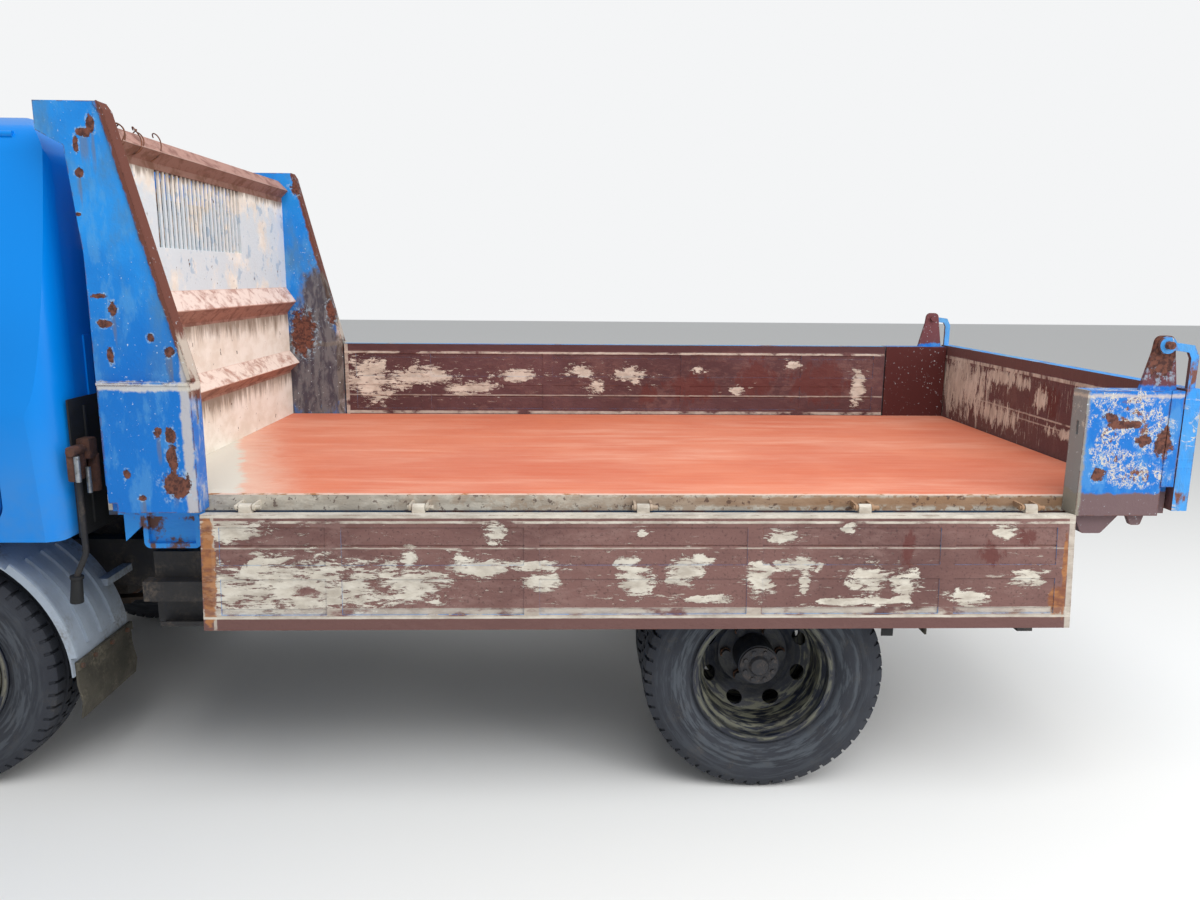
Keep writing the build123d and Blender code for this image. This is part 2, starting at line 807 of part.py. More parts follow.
# Tipping body: floor, bearers and sills
bearer_count = 10
bearer_half = 25
floor_half = bed_half - moving_gap
floor_front_y = headboard_y - wall
hinge_offsets = [-1135, -645, 0, 645, 1135]
gate_mid_y = (gate_start_y + gate_end_y) / 2
ear_spacing = 40
ear_sheet = 7
hinge_plate_x = frame_half + 10
hinge_plate = 14
bearer_frame_depth = 90
with BuildPart() as bed_floor:
    block(-floor_half, floor_half, floor_front_y, bed_end_y, floor_z - floor_sheet, floor_z)
    for i in range(bearer_count):
        bearer_y = floor_front_y + 30 + i * (bed_end_y - floor_front_y - 60) / (bearer_count - 1)
        prism(
            cross_plane(bearer_y + bearer_half),
            [
                (-floor_half, floor_z - floor_sheet),
                (-floor_half, floor_z - side_rail_depth),
                (-520, bearer_z0),
                (520, bearer_z0),
                (floor_half, floor_z - side_rail_depth),
                (floor_half, floor_z - floor_sheet),
            ],
            2 * bearer_half,
        )
    # a bearer for the hoist and one for the tipping hinge
    for bearer_y in (hoist_eye_y, tip_hinge_y):
        block(-frame_half - 40, frame_half + 40, bearer_y - 40, bearer_y + 40, bearer_z0, floor_z - floor_sheet)
    for side in (-1, 1):
        block(
            side * rail_inner, side * frame_half,
            floor_front_y + 20, tip_hinge_y - 30, sill_z0, bearer_z0,
        )
        block(
            side * (floor_half - side_rail_width), side * floor_half,
            floor_front_y, bed_end_y, floor_z - side_rail_depth, floor_z - floor_sheet,
        )
        for offset_y in hinge_offsets:
            for ear_y in (-ear_spacing / 2 - ear_sheet, ear_spacing / 2):
                ear_tip_x = gate_pin_x + gate_ear_radius
                prism(
                    cross_plane(gate_mid_y + offset_y + ear_y + ear_sheet),
                    [
                        (side * (floor_half - 2), gate_pin_z - gate_ear_radius),
                        (side * ear_tip_x, gate_pin_z - gate_ear_radius),
                        (side * ear_tip_x, gate_pin_z + gate_ear_radius),
                        (side * (floor_half - 2), gate_pin_z + gate_ear_radius),
                    ],
                    ear_sheet,
                    radius=[0, gate_ear_radius - 0.5, gate_ear_radius - 0.5, 0],
                )
            rod(
                (side * gate_pin_x, gate_mid_y + offset_y - ear_spacing / 2 - 12, gate_pin_z),
                (side * gate_pin_x, gate_mid_y + offset_y + ear_spacing / 2 + 22, gate_pin_z),
                gate_pin_radius,
            )
        # rounded frame and gusset under the side rail's front end
        frame_x0 = floor_half - bearer_frame_depth if side > 0 else -floor_half
        frame_points = [
            (headboard_y + 43, floor_z - 161), (headboard_y + 206, floor_z - 161),
            (headboard_y + 206, floor_z - 51), (headboard_y + 43, floor_z - 51),
        ]
        prism(side_plane(frame_x0), frame_points, bearer_frame_depth, radius=18)
        block(
            side * (floor_half - 16), side * (floor_half + 1), headboard_y + 57, headboard_y + 192,
            floor_z - 147, floor_z - 65, mode=Mode.SUBTRACT,
        )
        prism(
            side_plane(floor_half - 12 if side > 0 else -floor_half + 2),
            [
                (headboard_y - 10, floor_z - 58), (headboard_y + 44, floor_z - 58),
                (headboard_y + 44, floor_z - 90), (headboard_y - 10, floor_z - 140),
            ],
            10,
        )
        # plate round the tipping hinge's shaft
        inner_x = hinge_plate_x if side > 0 else -hinge_plate_x - hinge_plate
        prism(
            side_plane(inner_x),
            [
                (tip_hinge_y - 110, bearer_z0 + 10),
                (tip_hinge_y - hinge_eye_radius, tip_hinge_z - hinge_eye_radius),
                (tip_hinge_y + hinge_eye_radius, tip_hinge_z - hinge_eye_radius),
                (tip_hinge_y + 60, bearer_z0 + 10),
            ],
            hinge_plate,
            radius=[0, hinge_eye_radius - 4, hinge_eye_radius - 4, 0],
        )
    rod(
        (-frame_half - 40, tip_hinge_y, tip_hinge_z), (frame_half + 40, tip_hinge_y, tip_hinge_z),
        tip_pin_radius + pin_gap, mode=Mode.SUBTRACT,
    )
    # ears that carry the hoist rod's eye
    for ear_x in (-46, 32):
        prism(
            side_plane(ear_x),
            [
                (hoist_eye_y - 40, bearer_z0 + 4),
                (hoist_eye_y - 22, hoist_eye_z - 24),
                (hoist_eye_y + 22, hoist_eye_z - 24),
                (hoist_eye_y + 40, bearer_z0 + 4),
            ],
            14,
        )

# Headboard: a panel with a barred window, two pressed ribs and a folded top rail
window_x0 = -270
window_x1 = 440
window_z0 = 1638
window_z1 = 1872
bar_count = 20
bar_width = 14
with BuildPart() as headboard:
    board_half = bed_half - seat_gap
    block(-board_half, board_half, headboard_y - 30, headboard_y, floor_z + seat_gap, headboard_top_z)
    block(window_x0, window_x1, headboard_y - 40, headboard_y + 10, window_z0, window_z1, mode=Mode.SUBTRACT)
    pitch = (window_x1 - window_x0) / (bar_count + 1)
    for i in range(bar_count):
        bar_x = window_x0 + pitch * (i + 1)
        block(
            bar_x - bar_width / 2, bar_x + bar_width / 2, headboard_y - 8, headboard_y - 2,
            window_z0 - 2, window_z1 + 2,
        )
    # each row: top, peak and foot heights of a rib, and how far its peak stands out
    for top_z, peak_z, foot_z, reach in [(1500, 1441, 1392, 40), (1218, 1166, 1128, 41)]:
        prism(
            side_plane(-board_half),
            [
                (headboard_y - 4, top_z), (headboard_y, top_z), (headboard_y + reach, peak_z),
                (headboard_y, foot_z), (headboard_y - 4, foot_z),
            ],
            2 * board_half,
        )
    prism(
        side_plane(-board_half),
        [
            (headboard_y - 34, headboard_top_z - 12), (headboard_y - 34, headboard_top_z + 14),
            (headboard_y - 10, headboard_top_z + 14), (headboard_y + 30, headboard_top_z - 28),
            (headboard_y, headboard_top_z - 58), (headboard_y - 10, headboard_top_z - 58),
        ],
        2 * board_half,
    )
    for post_x in (-700, -360, 500, 700):
        block(post_x - 25, post_x + 25, headboard_y - wall, headboard_y - 28, floor_z + seat_gap, headboard_top_z)

# Front guards: a tall tapering wing at each end of the headboard, over the gate's front corner box
corner_box_rear_y = headboard_y + corner_box_length - 10
guard_flange = 12
latch_slot_x = bed_half + 28
latch_slot_width = 10
latch_slot_depth = 24
with BuildPart() as left_guard:
    prism(
        side_plane(bed_half),
        [
            (headboard_y - 118, guard_top_z),
            (headboard_y - 118, guard_top_z - 74),
            (headboard_y - 49, guard_top_z - 112),
            (headboard_y - 23, guard_top_z - 390),
            (headboard_y - 23, floor_z + 40),
            (headboard_y - 10, floor_z + 20),
            (headboard_y + 120, floor_z + 20),
            (corner_box_rear_y, side_top_z + 12),
            (headboard_y + 62, guard_top_z - 20),
            (headboard_y + 49, guard_top_z),
        ],
        wall,
    )
    block(
        bed_half, bed_half + corner_box_width,
        headboard_y - 10, corner_box_rear_y, floor_z - 35, side_top_z + 9,
    )
    # folded flange down the sloping edge
    prism(
        side_plane(bed_half + wall - 2),
        strip(
            [
                (corner_box_rear_y - 7, side_top_z + 14), (headboard_y + 56, guard_top_z - 22),
                (headboard_y + 43, guard_top_z - 2),
            ],
            guard_flange,
        ),
        6,
    )
    # corner box: folded lip round its top, latch slot in its jamb, cut-away foot
    block(
        bed_half, bed_half + corner_box_width + 3,
        headboard_y - 13, corner_box_rear_y, side_top_z + 2, side_top_z + 9,
    )
    block(
        latch_slot_x, latch_slot_x + latch_slot_width, corner_box_rear_y - latch_slot_depth,
        corner_box_rear_y + 1, side_top_z - 110, side_top_z - 26, mode=Mode.SUBTRACT,
    )
    block(
        bed_half + 50, bed_half + corner_box_width + 1,
        headboard_y - 11, headboard_y + 14, floor_z - 36, floor_z - 8, mode=Mode.SUBTRACT,
    )
with BuildPart() as front_guards:
    both_sides(left_guard.part)

# Rear posts with the towers that carry the tailgate's pins
tailgate_pin_y = bed_end_y - tailgate_pin_before_end
post_strip = 37
with BuildPart() as left_post:
    block(
        bed_half - moving_gap + seat_gap, bed_half + corner_box_width,
        bed_end_y - rear_post_length, bed_end_y, floor_z - 42, side_top_z,
    )
    # rear strip of the outer face: set off by a groove and cut away at its foot
    post_face_x = bed_half + corner_box_width
    strip_y = bed_end_y - post_strip
    block(post_face_x - 3, post_face_x + 1, strip_y - 3, strip_y, floor_z + 40, side_top_z + 1, mode=Mode.SUBTRACT)
    block(
        post_face_x - 30, post_face_x + 1, strip_y, bed_end_y + 1,
        floor_z - 43, floor_z + 44, mode=Mode.SUBTRACT,
    )
    # latch slot in the jamb
    post_front_y = bed_end_y - rear_post_length
    block(
        latch_slot_x, latch_slot_x + latch_slot_width, post_front_y - 1,
        post_front_y + latch_slot_depth, side_top_z - 131, side_top_z - 91, mode=Mode.SUBTRACT,
    )
    # tapered bracket and catch below
    prism(
        side_plane(bed_half),
        [
            (post_front_y + 5, floor_z - 40), (post_front_y + 145, floor_z - 40),
            (post_front_y + 92, floor_z - 100), (post_front_y + 34, floor_z - 100),
        ],
        50,
        radius=[0, 0, 12, 12],
    )
    prism(
        side_plane(bed_half + 40),
        [
            (post_front_y + 160, floor_z - 40), (post_front_y + 215, floor_z - 40),
            (post_front_y + 205, floor_z - 74), (post_front_y + 176, floor_z - 74),
        ],
        14,
        radius=[0, 0, 8, 8],
    )
    tower_x = bed_half + 36
    prism(
        side_plane(tower_x),
        [
            (tailgate_pin_y - 62, side_top_z - 10),
            (tailgate_pin_y - 32, tailgate_pin_z - 20),
            (tailgate_pin_y - 26, tailgate_pin_z + 26),
            (tailgate_pin_y + 26, tailgate_pin_z + 26),
            (tailgate_pin_y + 32, tailgate_pin_z - 20),
            (tailgate_pin_y + 50, side_top_z - 10),
        ],
        12,
        radius=[0, 0, 20, 20, 0, 0],
    )
    rod(
        (tower_x - 12, tailgate_pin_y, tailgate_pin_z),
        (bed_half + corner_box_width + 8, tailgate_pin_y, tailgate_pin_z), tailgate_pin_radius,
    )
with BuildPart() as rear_posts:
    both_sides(left_post.part)

# Left gate, hanging lowered; its closed shape is made first and then swung down
gate_height = side_height
gate_z0 = gate_pin_z + 15
gate_z1 = side_top_z
panel_sheet = 30
gate_knuckle_radius = 11
gate_border = 46
gate_hem = 14
gate_field_depth = 2
gate_channel_height = 40
crease_above_foot = 90
crease_half = 5
crease_depth = 3
gate_step_height = 22
with BuildPart() as gate_closed:
    block(
        bed_half, bed_half + panel_sheet, gate_start_y, gate_end_y, gate_z0, gate_z1,
    )
    # the inner face's pressed field, its crease and the step under the top channel
    field_x = bed_half + gate_field_depth
    field_z1 = gate_z1 - gate_channel_height
    field_y0 = gate_start_y + gate_border
    field_y1 = gate_end_y - gate_border
    block(bed_half - 1, field_x, field_y0, field_y1, gate_z0 + gate_hem, field_z1, mode=Mode.SUBTRACT)
    block(
        bed_half - 1, field_x + gate_field_depth, field_y0, field_y1,
        field_z1 - gate_step_height, field_z1, mode=Mode.SUBTRACT,
    )
    prism(
        cross_plane(field_y1),
        [
            (field_x - 1, gate_z0 + crease_above_foot - crease_half),
            (field_x + crease_depth, gate_z0 + crease_above_foot),
            (field_x - 1, gate_z0 + crease_above_foot + crease_half),
        ],
        field_y1 - field_y0, mode=Mode.SUBTRACT,
    )
    # top and bottom rails and end posts stand out on the outer face
    block(bed_half, bed_half + gate_thickness, gate_start_y, gate_end_y, gate_z1 - 44, gate_z1)
    block(bed_half, bed_half + gate_thickness, gate_start_y, gate_end_y, gate_z0, gate_z0 + 36)
    block(bed_half, bed_half + gate_thickness, gate_start_y, gate_end_y, gate_z0 + 145, gate_z0 + 185)
    for offset_y in (-1220, -880, -320, 320, 880, 1220):
        block(
            bed_half, bed_half + gate_thickness,
            gate_mid_y + offset_y - 22, gate_mid_y + offset_y + 22, gate_z0, gate_z1,
        )
    for offset_y in hinge_offsets:
        knuckle_half = ear_spacing / 2 - 2
        prism(
            cross_plane(gate_mid_y + offset_y + knuckle_half),
            [
                (gate_pin_x - gate_knuckle_radius, gate_pin_z - gate_knuckle_radius),
                (gate_pin_x + gate_knuckle_radius, gate_pin_z - gate_knuckle_radius),
                (gate_pin_x + gate_knuckle_radius, gate_pin_z + 8),
                (bed_half + gate_thickness, gate_z0 + 5),
                (gate_pin_x - gate_knuckle_radius, gate_z0 + 5),
            ],
            2 * knuckle_half,
            radius=[gate_knuckle_radius - 0.5, gate_knuckle_radius - 0.5, 0, 0, 0],
        )
        rod(
            (gate_pin_x, gate_mid_y + offset_y - knuckle_half, gate_pin_z),
            (gate_pin_x, gate_mid_y + offset_y + knuckle_half, gate_pin_z),
            gate_pin_radius + pin_gap, mode=Mode.SUBTRACT,
        )
gate_swing = 180 - gate_lean
with BuildPart() as gate_left:
    add(gate_closed.part.rotate(Axis((gate_pin_x, 0, gate_pin_z), (0, 1, 0)), gate_swing))
with BuildPart() as gate_right:
    mirror(gate_closed.part, about=Plane.YZ)

# Tailgate, hung from the towers by an arm at each end
tailgate_half = bed_half + corner_box_width - 2
tailgate_y0 = bed_end_y + moving_gap
tailgate_z0 = floor_z - 28
with BuildPart() as tailgate:
    block(-tailgate_half, tailgate_half, tailgate_y0, tailgate_y0 + 30, tailgate_z0, side_top_z + 6)
    block(-tailgate_half, tailgate_half, tailgate_y0, rear_face_y, side_top_z - 38, side_top_z + 6)
    block(-tailgate_half, tailgate_half, tailgate_y0, rear_face_y, tailgate_z0, tailgate_z0 + 40)
    for post_x in (-tailgate_half + 22, -430, 0, 430, tailgate_half - 22):
        block(post_x - 22, post_x + 22, tailgate_y0, rear_face_y, tailgate_z0, side_top_z + 6)
    arm_x = bed_half + 50
    for side in (-1, 1):
        inner_x = arm_x if side > 0 else -arm_x - 12
        prism(
            side_plane(inner_x),
            strip(
                [
                    (tailgate_pin_y, tailgate_pin_z), (tailgate_y0 + 4, tailgate_pin_z - 10),
                    (tailgate_y0 + 16, tailgate_pin_z - 34), (tailgate_y0 + 16, side_top_z - 60),
                ],
                22,
            ),
            12,
        )
        rod(
            (side * arm_x, tailgate_pin_y, tailgate_pin_z),
            (side * (arm_x + 12), tailgate_pin_y, tailgate_pin_z), 24,
        )
        rod(
            (side * (arm_x - 2), tailgate_pin_y, tailgate_pin_z),
            (side * (arm_x + 14), tailgate_pin_y, tailgate_pin_z),
            tailgate_pin_radius + pin_gap, mode=Mode.SUBTRACT,
        )

# Hoist: a barrel pinned to the sub-frame, and a rod whose eye meets the bed's ears
hoist_run = Vector(0, hoist_eye_y - hoist_base_y, hoist_eye_z - hoist_base_z)
hoist_way = hoist_run.normalized()
hoist_base = Vector(0, hoist_base_y, hoist_base_z)
hoist_eye = Vector(0, hoist_eye_y, hoist_eye_z)
barrel_length = hoist_run.length - 75
with BuildPart() as hoist_barrel:
    rod(tuple(hoist_base), tuple(hoist_base + hoist_way * barrel_length), barrel_radius * 0.5)
    rod(tuple(hoist_base + hoist_way * 64), tuple(hoist_base + hoist_way * barrel_length), barrel_radius)
    rod(
        tuple(hoist_base + hoist_way * (barrel_length - 34)), tuple(hoist_base + hoist_way * barrel_length),
        barrel_radius + 6,
    )
    rod(
        tuple(hoist_base + hoist_way * 80), tuple(hoist_base + hoist_way * (barrel_length + 1)),
        rod_radius + pin_gap, mode=Mode.SUBTRACT,
    )
    rod((-30, hoist_base_y, hoist_base_z), (30, hoist_base_y, hoist_base_z), 28)
    rod(
        (-31, hoist_base_y, hoist_base_z), (31, hoist_base_y, hoist_base_z),
        hoist_pin_radius + pin_gap, mode=Mode.SUBTRACT,
    )
with BuildPart() as hoist_rod:
    rod(tuple(hoist_base + hoist_way * 84), tuple(hoist_eye), rod_radius)
    rod((-26, hoist_eye_y, hoist_eye_z), (26, hoist_eye_y, hoist_eye_z), 27)

# Cab: the shape common to a side, a front and a top outline, each inset for the inner skins
windscreen_foot_z = 1230
roof_front_z = cab_top_z - 40


def cab_form(inset):
    with BuildPart() as form:
        with BuildSketch(Plane.YZ):
            with BuildLine():
                FilletPolyline(
                    (cab_front_y + 18, cab_sill_z),
                    (cab_front_y, windscreen_foot_z - 250),
                    (cab_front_y + 30, windscreen_foot_z),
                    (cab_front_y + 285, roof_front_z),
                    (cab_front_y + 560, cab_top_z),
                    (cab_rear_y - 120, cab_top_z),
                    (cab_rear_y, roof_front_z - 35),
                    (cab_rear_y, cab_floor_z),
                    (cab_front_y + cab_sill_length + 30, cab_floor_z),
                    (cab_front_y + cab_sill_length, cab_sill_z),
                    radius=[40, 400, 120, 160, 500, 160, 120, 40, 20, 20],
                    close=True,
                )
            make_face()
            if inset:
                offset(amount=-inset)
        extrude(amount=cab_half, both=True)
        with BuildSketch(Plane.XZ):
            with BuildLine():
                FilletPolyline(
                    (cab_half - 6, cab_floor_z - 200),
                    (cab_half, windscreen_foot_z - 60),
                    (cab_half - 75, cab_top_z - 60),
                    (cab_half - 240, cab_top_z + 8),
                    (-cab_half + 240, cab_top_z + 8),
                    (-cab_half + 75, cab_top_z - 60),
                    (-cab_half, windscreen_foot_z - 60),
                    (-cab_half + 6, cab_floor_z - 200),
                    radius=[0, 300, 90, 600, 600, 90, 300, 0],
                    close=True,
                )
            make_face()
            if inset:
                offset(amount=-inset)
        extrude(amount=2 * truck_length, both=True, mode=Mode.INTERSECT)
        with BuildSketch(Plane.XY):
            with BuildLine():
                FilletPolyline(
                    (cab_half, cab_front_y + 75),
                    (cab_half - 95, cab_front_y + 12),
                    (0, cab_front_y - 8),
                    (-cab_half + 95, cab_front_y + 12),
                    (-cab_half, cab_front_y + 75),
                    (-cab_half, cab_rear_y),
                    (cab_half, cab_rear_y),
                    radius=[90, 90, 2000, 90, 90, 100, 100],
                    close=True,
                )
            make_face()
            if inset:
                offset(amount=-inset)
        extrude(amount=2 * cab_top_z, mode=Mode.INTERSECT)
    return form.part


cab_outer = cab_form(0)
cab_inner = cab_form(cab_wall)
glass_outer = cab_form(12)
glass_inner = cab_form(12 + cab_glass)

door_front_y = cab_front_y + 175
door_rear_y = cab_rear_y - 185
door_points = [
    (door_front_y, cab_floor_z + 15),
    (door_front_y - 15, windscreen_foot_z - 20),
    (cab_front_y + 330, cab_top_z - 105),
    (door_rear_y, cab_top_z - 95),
    (door_rear_y, cab_floor_z + 90),
    (door_rear_y - 60, cab_floor_z + 15),
]
door_radius = [30, 60, 60, 50, 60, 60]
door_window_points = [
    (door_front_y + 72, windscreen_foot_z + 5),
    (cab_front_y + 375, cab_top_z - 165),
    (door_rear_y - 62, cab_top_z - 160),
    (door_rear_y - 62, windscreen_foot_z - 25),
]
door_window_radius = [30, 50, 50, 50]
screen_points = [
    (-cab_half + 90, windscreen_foot_z + 20),
    (-cab_half + 150, roof_front_z - 50),
    (cab_half - 150, roof_front_z - 50),
    (cab_half - 90, windscreen_foot_z + 20),
]
rear_window = (560, 1440, cab_top_z - 195)
floor_edge_x = cab_half - cab_wall
door_hinge_y = door_front_y + door_gap / 2
door_hinge_radius = 9
door_hinge_length = 60
door_hinge_pin_radius = 4
door_knuckle_length = 16
knuckle_gap = 0.5
door_leaf_depth = 8
door_leaf_length = 34
door_hinge_rows = [920, 1120]
side_reach = 400
cab_rib_rows = [-660, -440, -220, 0, 220, 440, 660]
cab_rib_half = 18
cab_rib_height = 5


def door_prism(points, radius, inset, mode):
    """The door's or its window's outline, drawn inwards by an inset, through the cab's left side."""
    with BuildSketch(side_plane(cab_half - 250)) as outline:
        with BuildLine():
            FilletPolyline(*points, radius=radius, close=True)
        make_face()
        if inset:
            offset(amount=-inset)
    extrude(outline.sketch, amount=side_reach, mode=mode)


def knuckle_spans(hinge_z):
    """Heights of the cab's two knuckles, below and above a hinge barrel of the door."""
    top_z = hinge_z + door_hinge_length
    return (
        (hinge_z - knuckle_gap - door_knuckle_length, hinge_z - knuckle_gap),
        (top_z + knuckle_gap, top_z + knuckle_gap + door_knuckle_length),
    )


with BuildPart() as door_left:
    add(cab_outer)
    add(cab_inner, mode=Mode.SUBTRACT)
    door_prism(door_points, door_radius, door_gap / 2, Mode.INTERSECT)
    door_prism(door_window_points, door_window_radius, 0, Mode.SUBTRACT)
    # the door's foot stays outside the cab's floor
    block(
        0, floor_edge_x, cab_front_y, cab_rear_y,
        cab_floor_z, cab_floor_z + cab_wall + door_gap / 2, mode=Mode.SUBTRACT,
    )
    for hinge_z in door_hinge_rows:
        for z0, z1 in knuckle_spans(hinge_z):
            block(
                cab_half - door_leaf_depth - door_gap / 2, cab_half + 2 * door_hinge_radius,
                door_hinge_y - door_leaf_length, door_hinge_y + door_hinge_radius + door_gap / 2,
                z0 - door_gap / 2, z1 + door_gap / 2, mode=Mode.SUBTRACT,
            )
        ring(
            (cab_half, door_hinge_y, hinge_z), (cab_half, door_hinge_y, hinge_z + door_hinge_length),
            door_hinge_radius, door_hinge_pin_radius + pin_gap,
        )
with BuildPart() as door_right:
    mirror(door_left.part, about=Plane.YZ)
with BuildPart() as door_glass_left:
    add(glass_outer)
    add(glass_inner, mode=Mode.SUBTRACT)
    door_prism(door_window_points, door_window_radius, seat_gap, Mode.INTERSECT)
with BuildPart() as door_glass_right:
    mirror(door_glass_left.part, about=Plane.YZ)

with BuildPart() as door_cutter:
    door_prism(door_points, door_radius, -door_gap / 2, Mode.ADD)
    block(
        0, floor_edge_x - door_gap / 2, cab_front_y, cab_rear_y,
        cab_floor_z, cab_floor_z + cab_wall, mode=Mode.SUBTRACT,
    )


def screen_prism(inset, mode):
    with BuildSketch(cross_plane(cab_front_y + 420)) as outline:
        with BuildLine():
            FilletPolyline(*screen_points, radius=60, close=True)
        make_face()
        if inset:
            offset(amount=-inset)
    extrude(outline.sketch, amount=600, mode=mode)


def rear_window_prism(inset, mode):
    half, low, high = rear_window
    with BuildSketch(cross_plane(cab_rear_y + 50)) as outline:
        with BuildLine():
            FilletPolyline((half, low), (half, high), (-half, high), (-half, low), radius=50, close=True)
        make_face()
        if inset:
            offset(amount=-inset)
    extrude(outline.sketch, amount=200, mode=mode)


with BuildPart() as cab_shell:
    add(cab_outer)
    add(cab_inner, mode=Mode.SUBTRACT)
    add(door_cutter.part, mode=Mode.SUBTRACT)
    mirror(door_cutter.part, about=Plane.YZ, mode=Mode.SUBTRACT)
    screen_prism(0, Mode.SUBTRACT)
    rear_window_prism(0, Mode.SUBTRACT)
    # pressed ribs down the rear wall, below its window
    for rib_x in cab_rib_rows:
        block(
            rib_x - cab_rib_half, rib_x + cab_rib_half, cab_rear_y - 10, cab_rear_y + cab_rib_height,
            cab_floor_z + 90, rear_window[1] - 60,
        )
    # cranked legs down to the tilt hinge, outside the frame rails
    for side in (-1, 1):
        inner_x = cab_leg_x if side > 0 else -cab_leg_x - cab_leg_sheet
        prism(
            side_plane(inner_x),
            [
                (cab_hinge_y - 22, cab_hinge_z - 22),
                (cab_hinge_y + 26, cab_hinge_z - 22),
                (cab_hinge_y + 190, cab_sill_z + 10),
                (cab_hinge_y + 70, cab_sill_z + 10),
                (cab_hinge_y - 22, cab_hinge_z + 22),
            ],
            cab_leg_sheet,
            radius=[20, 20, 0, 0, 20],
        )
        rod(
            (inner_x - 2, cab_hinge_y, cab_hinge_z), (inner_x + cab_leg_sheet + 2, cab_hinge_y, cab_hinge_z),
            cab_hinge_radius + pin_gap, mode=Mode.SUBTRACT,
        )
        # door hinges: a pin between two knuckles, with a leaf on the pillar
        for hinge_z in door_hinge_rows:
            spans = knuckle_spans(hinge_z)
            for z0, z1 in spans:
                rod(
                    (side * cab_half, door_hinge_y, z0), (side * cab_half, door_hinge_y, z1),
                    door_hinge_radius,
                )
                block(
                    side * (cab_half - door_leaf_depth), side * (cab_half + 6),
                    door_hinge_y - door_leaf_length, door_hinge_y, z0, z1,
                )
            rod(
                (side * cab_half, door_hinge_y, spans[0][0]), (side * cab_half, door_hinge_y, spans[1][1]),
                door_hinge_pin_radius,
            )

with BuildPart() as cab_glass_panes:
    add(glass_outer)
    add(glass_inner, mode=Mode.SUBTRACT)
    screen_prism(seat_gap, Mode.INTERSECT)
with BuildPart() as rear_pane:
    add(glass_outer)
    add(glass_inner, mode=Mode.SUBTRACT)
    rear_window_prism(seat_gap, Mode.INTERSECT)
with BuildPart() as cab_windows:
    add(cab_glass_panes.part)
    add(rear_pane.part)

# Cab inside: seats, dashboard and steering wheel
seat_floor_z = cab_floor_z + cab_wall + seat_gap
with BuildPart() as seats:
    for x0, x1 in ((-760, -250), (-240, 240), (250, 760)):
        block(x0, x1, cab_rear_y - 700, cab_rear_y - 170, seat_floor_z, seat_floor_z + 260)
        prism(
            side_plane(x0),
            [
                (cab_rear_y - 230, seat_floor_z + 250), (cab_rear_y - 150, seat_floor_z + 250),
                (cab_rear_y - 60, seat_floor_z + 720), (cab_rear_y - 140, seat_floor_z + 720),
            ],
            x1 - x0,
            radius=[0, 0, 30, 30],
        )
dashboard_half = cab_half - 60
with BuildPart() as dashboard:
    prism(
        side_plane(-dashboard_half),
        [
            (cab_front_y, 1000), (cab_front_y, windscreen_foot_z - 10),
            (cab_front_y + 280, windscreen_foot_z - 20), (cab_front_y + 330, windscreen_foot_z - 70),
            (cab_front_y + 260, 1000),
        ],
        2 * dashboard_half,
        radius=[0, 0, 40, 30, 0],
    )
    add(cab_form(cab_wall + seat_gap), mode=Mode.INTERSECT)
wheel_centre = Vector(-420, cab_front_y + 470, 1290)
wheel_radius = 205
grip_radius = 13
column_way = Vector(0, -0.5, -0.87).normalized()
with BuildPart() as steering_wheel:
    wheel_level = Plane(origin=tuple(wheel_centre), x_dir=(1, 0, 0), z_dir=tuple(column_way))
    with BuildSketch(Plane(origin=tuple(wheel_centre), x_dir=(1, 0, 0), z_dir=wheel_level.y_dir)) as grip:
        with Locations((wheel_radius - grip_radius, 0)):
            Circle(grip_radius)
    revolve(grip.sketch, axis=Axis(tuple(wheel_centre), tuple(column_way)))
    with BuildSketch(wheel_level) as spokes:
        Rectangle(2 * wheel_radius - 2 * grip_radius, 34)
        Circle(50)
    extrude(spokes.sketch, amount=16)
    column_length = (wheel_centre.Z - cab_sill_z) / -column_way.Z
    rod(tuple(wheel_centre + column_way * 10), tuple(wheel_centre + column_way * column_length), 24)
    block(
        -cab_half, 0, cab_front_y, cab_rear_y,
        cab_sill_z + cab_wall + seat_gap, cab_top_z, mode=Mode.INTERSECT,
    )

# Grille panel following the cab's nose, and mirrors on the front pillars
cab_clear = cab_form(-seat_gap)
grille_half = 470
grille_z0 = 925
grille_z1 = 1110
grille_slots = 4
with BuildPart() as grille:
    add(cab_form(-16))
    add(cab_clear, mode=Mode.SUBTRACT)
    block(
        -grille_half, grille_half, cab_front_y - 60, cab_front_y + 60, grille_z0, grille_z1,
        mode=Mode.INTERSECT,
    )
    slot_pitch = (grille_z1 - grille_z0) / (grille_slots + 0.5)
    for i in range(grille_slots):
        slot_z = grille_z0 + slot_pitch * (i + 0.5)
        block(
            -grille_half + 30, grille_half - 30, cab_front_y - 60, cab_front_y - 6,
            slot_z, slot_z + slot_pitch * 0.5, mode=Mode.SUBTRACT,
        )

mirror_reach = 1000
mirror_foot_y = cab_front_y + 115
with BuildPart() as left_mirror:
    prism(
        side_plane(mirror_reach - 170),
        [
            (cab_front_y + 42, 1290), (cab_front_y + 42, 1640),
            (cab_front_y + 102, 1640), (cab_front_y + 102, 1290),
        ],
        170,
        radius=25,
    )
    rod((cab_half - 40, mirror_foot_y, 1240), (mirror_reach - 80, cab_front_y + 80, 1310), 11)
    rod((cab_half - 40, mirror_foot_y, 1205), (mirror_reach - 80, cab_front_y + 80, 1300), 11)
    add(cab_clear, mode=Mode.SUBTRACT)
with BuildPart() as mirrors:
    both_sides(left_mirror.part)

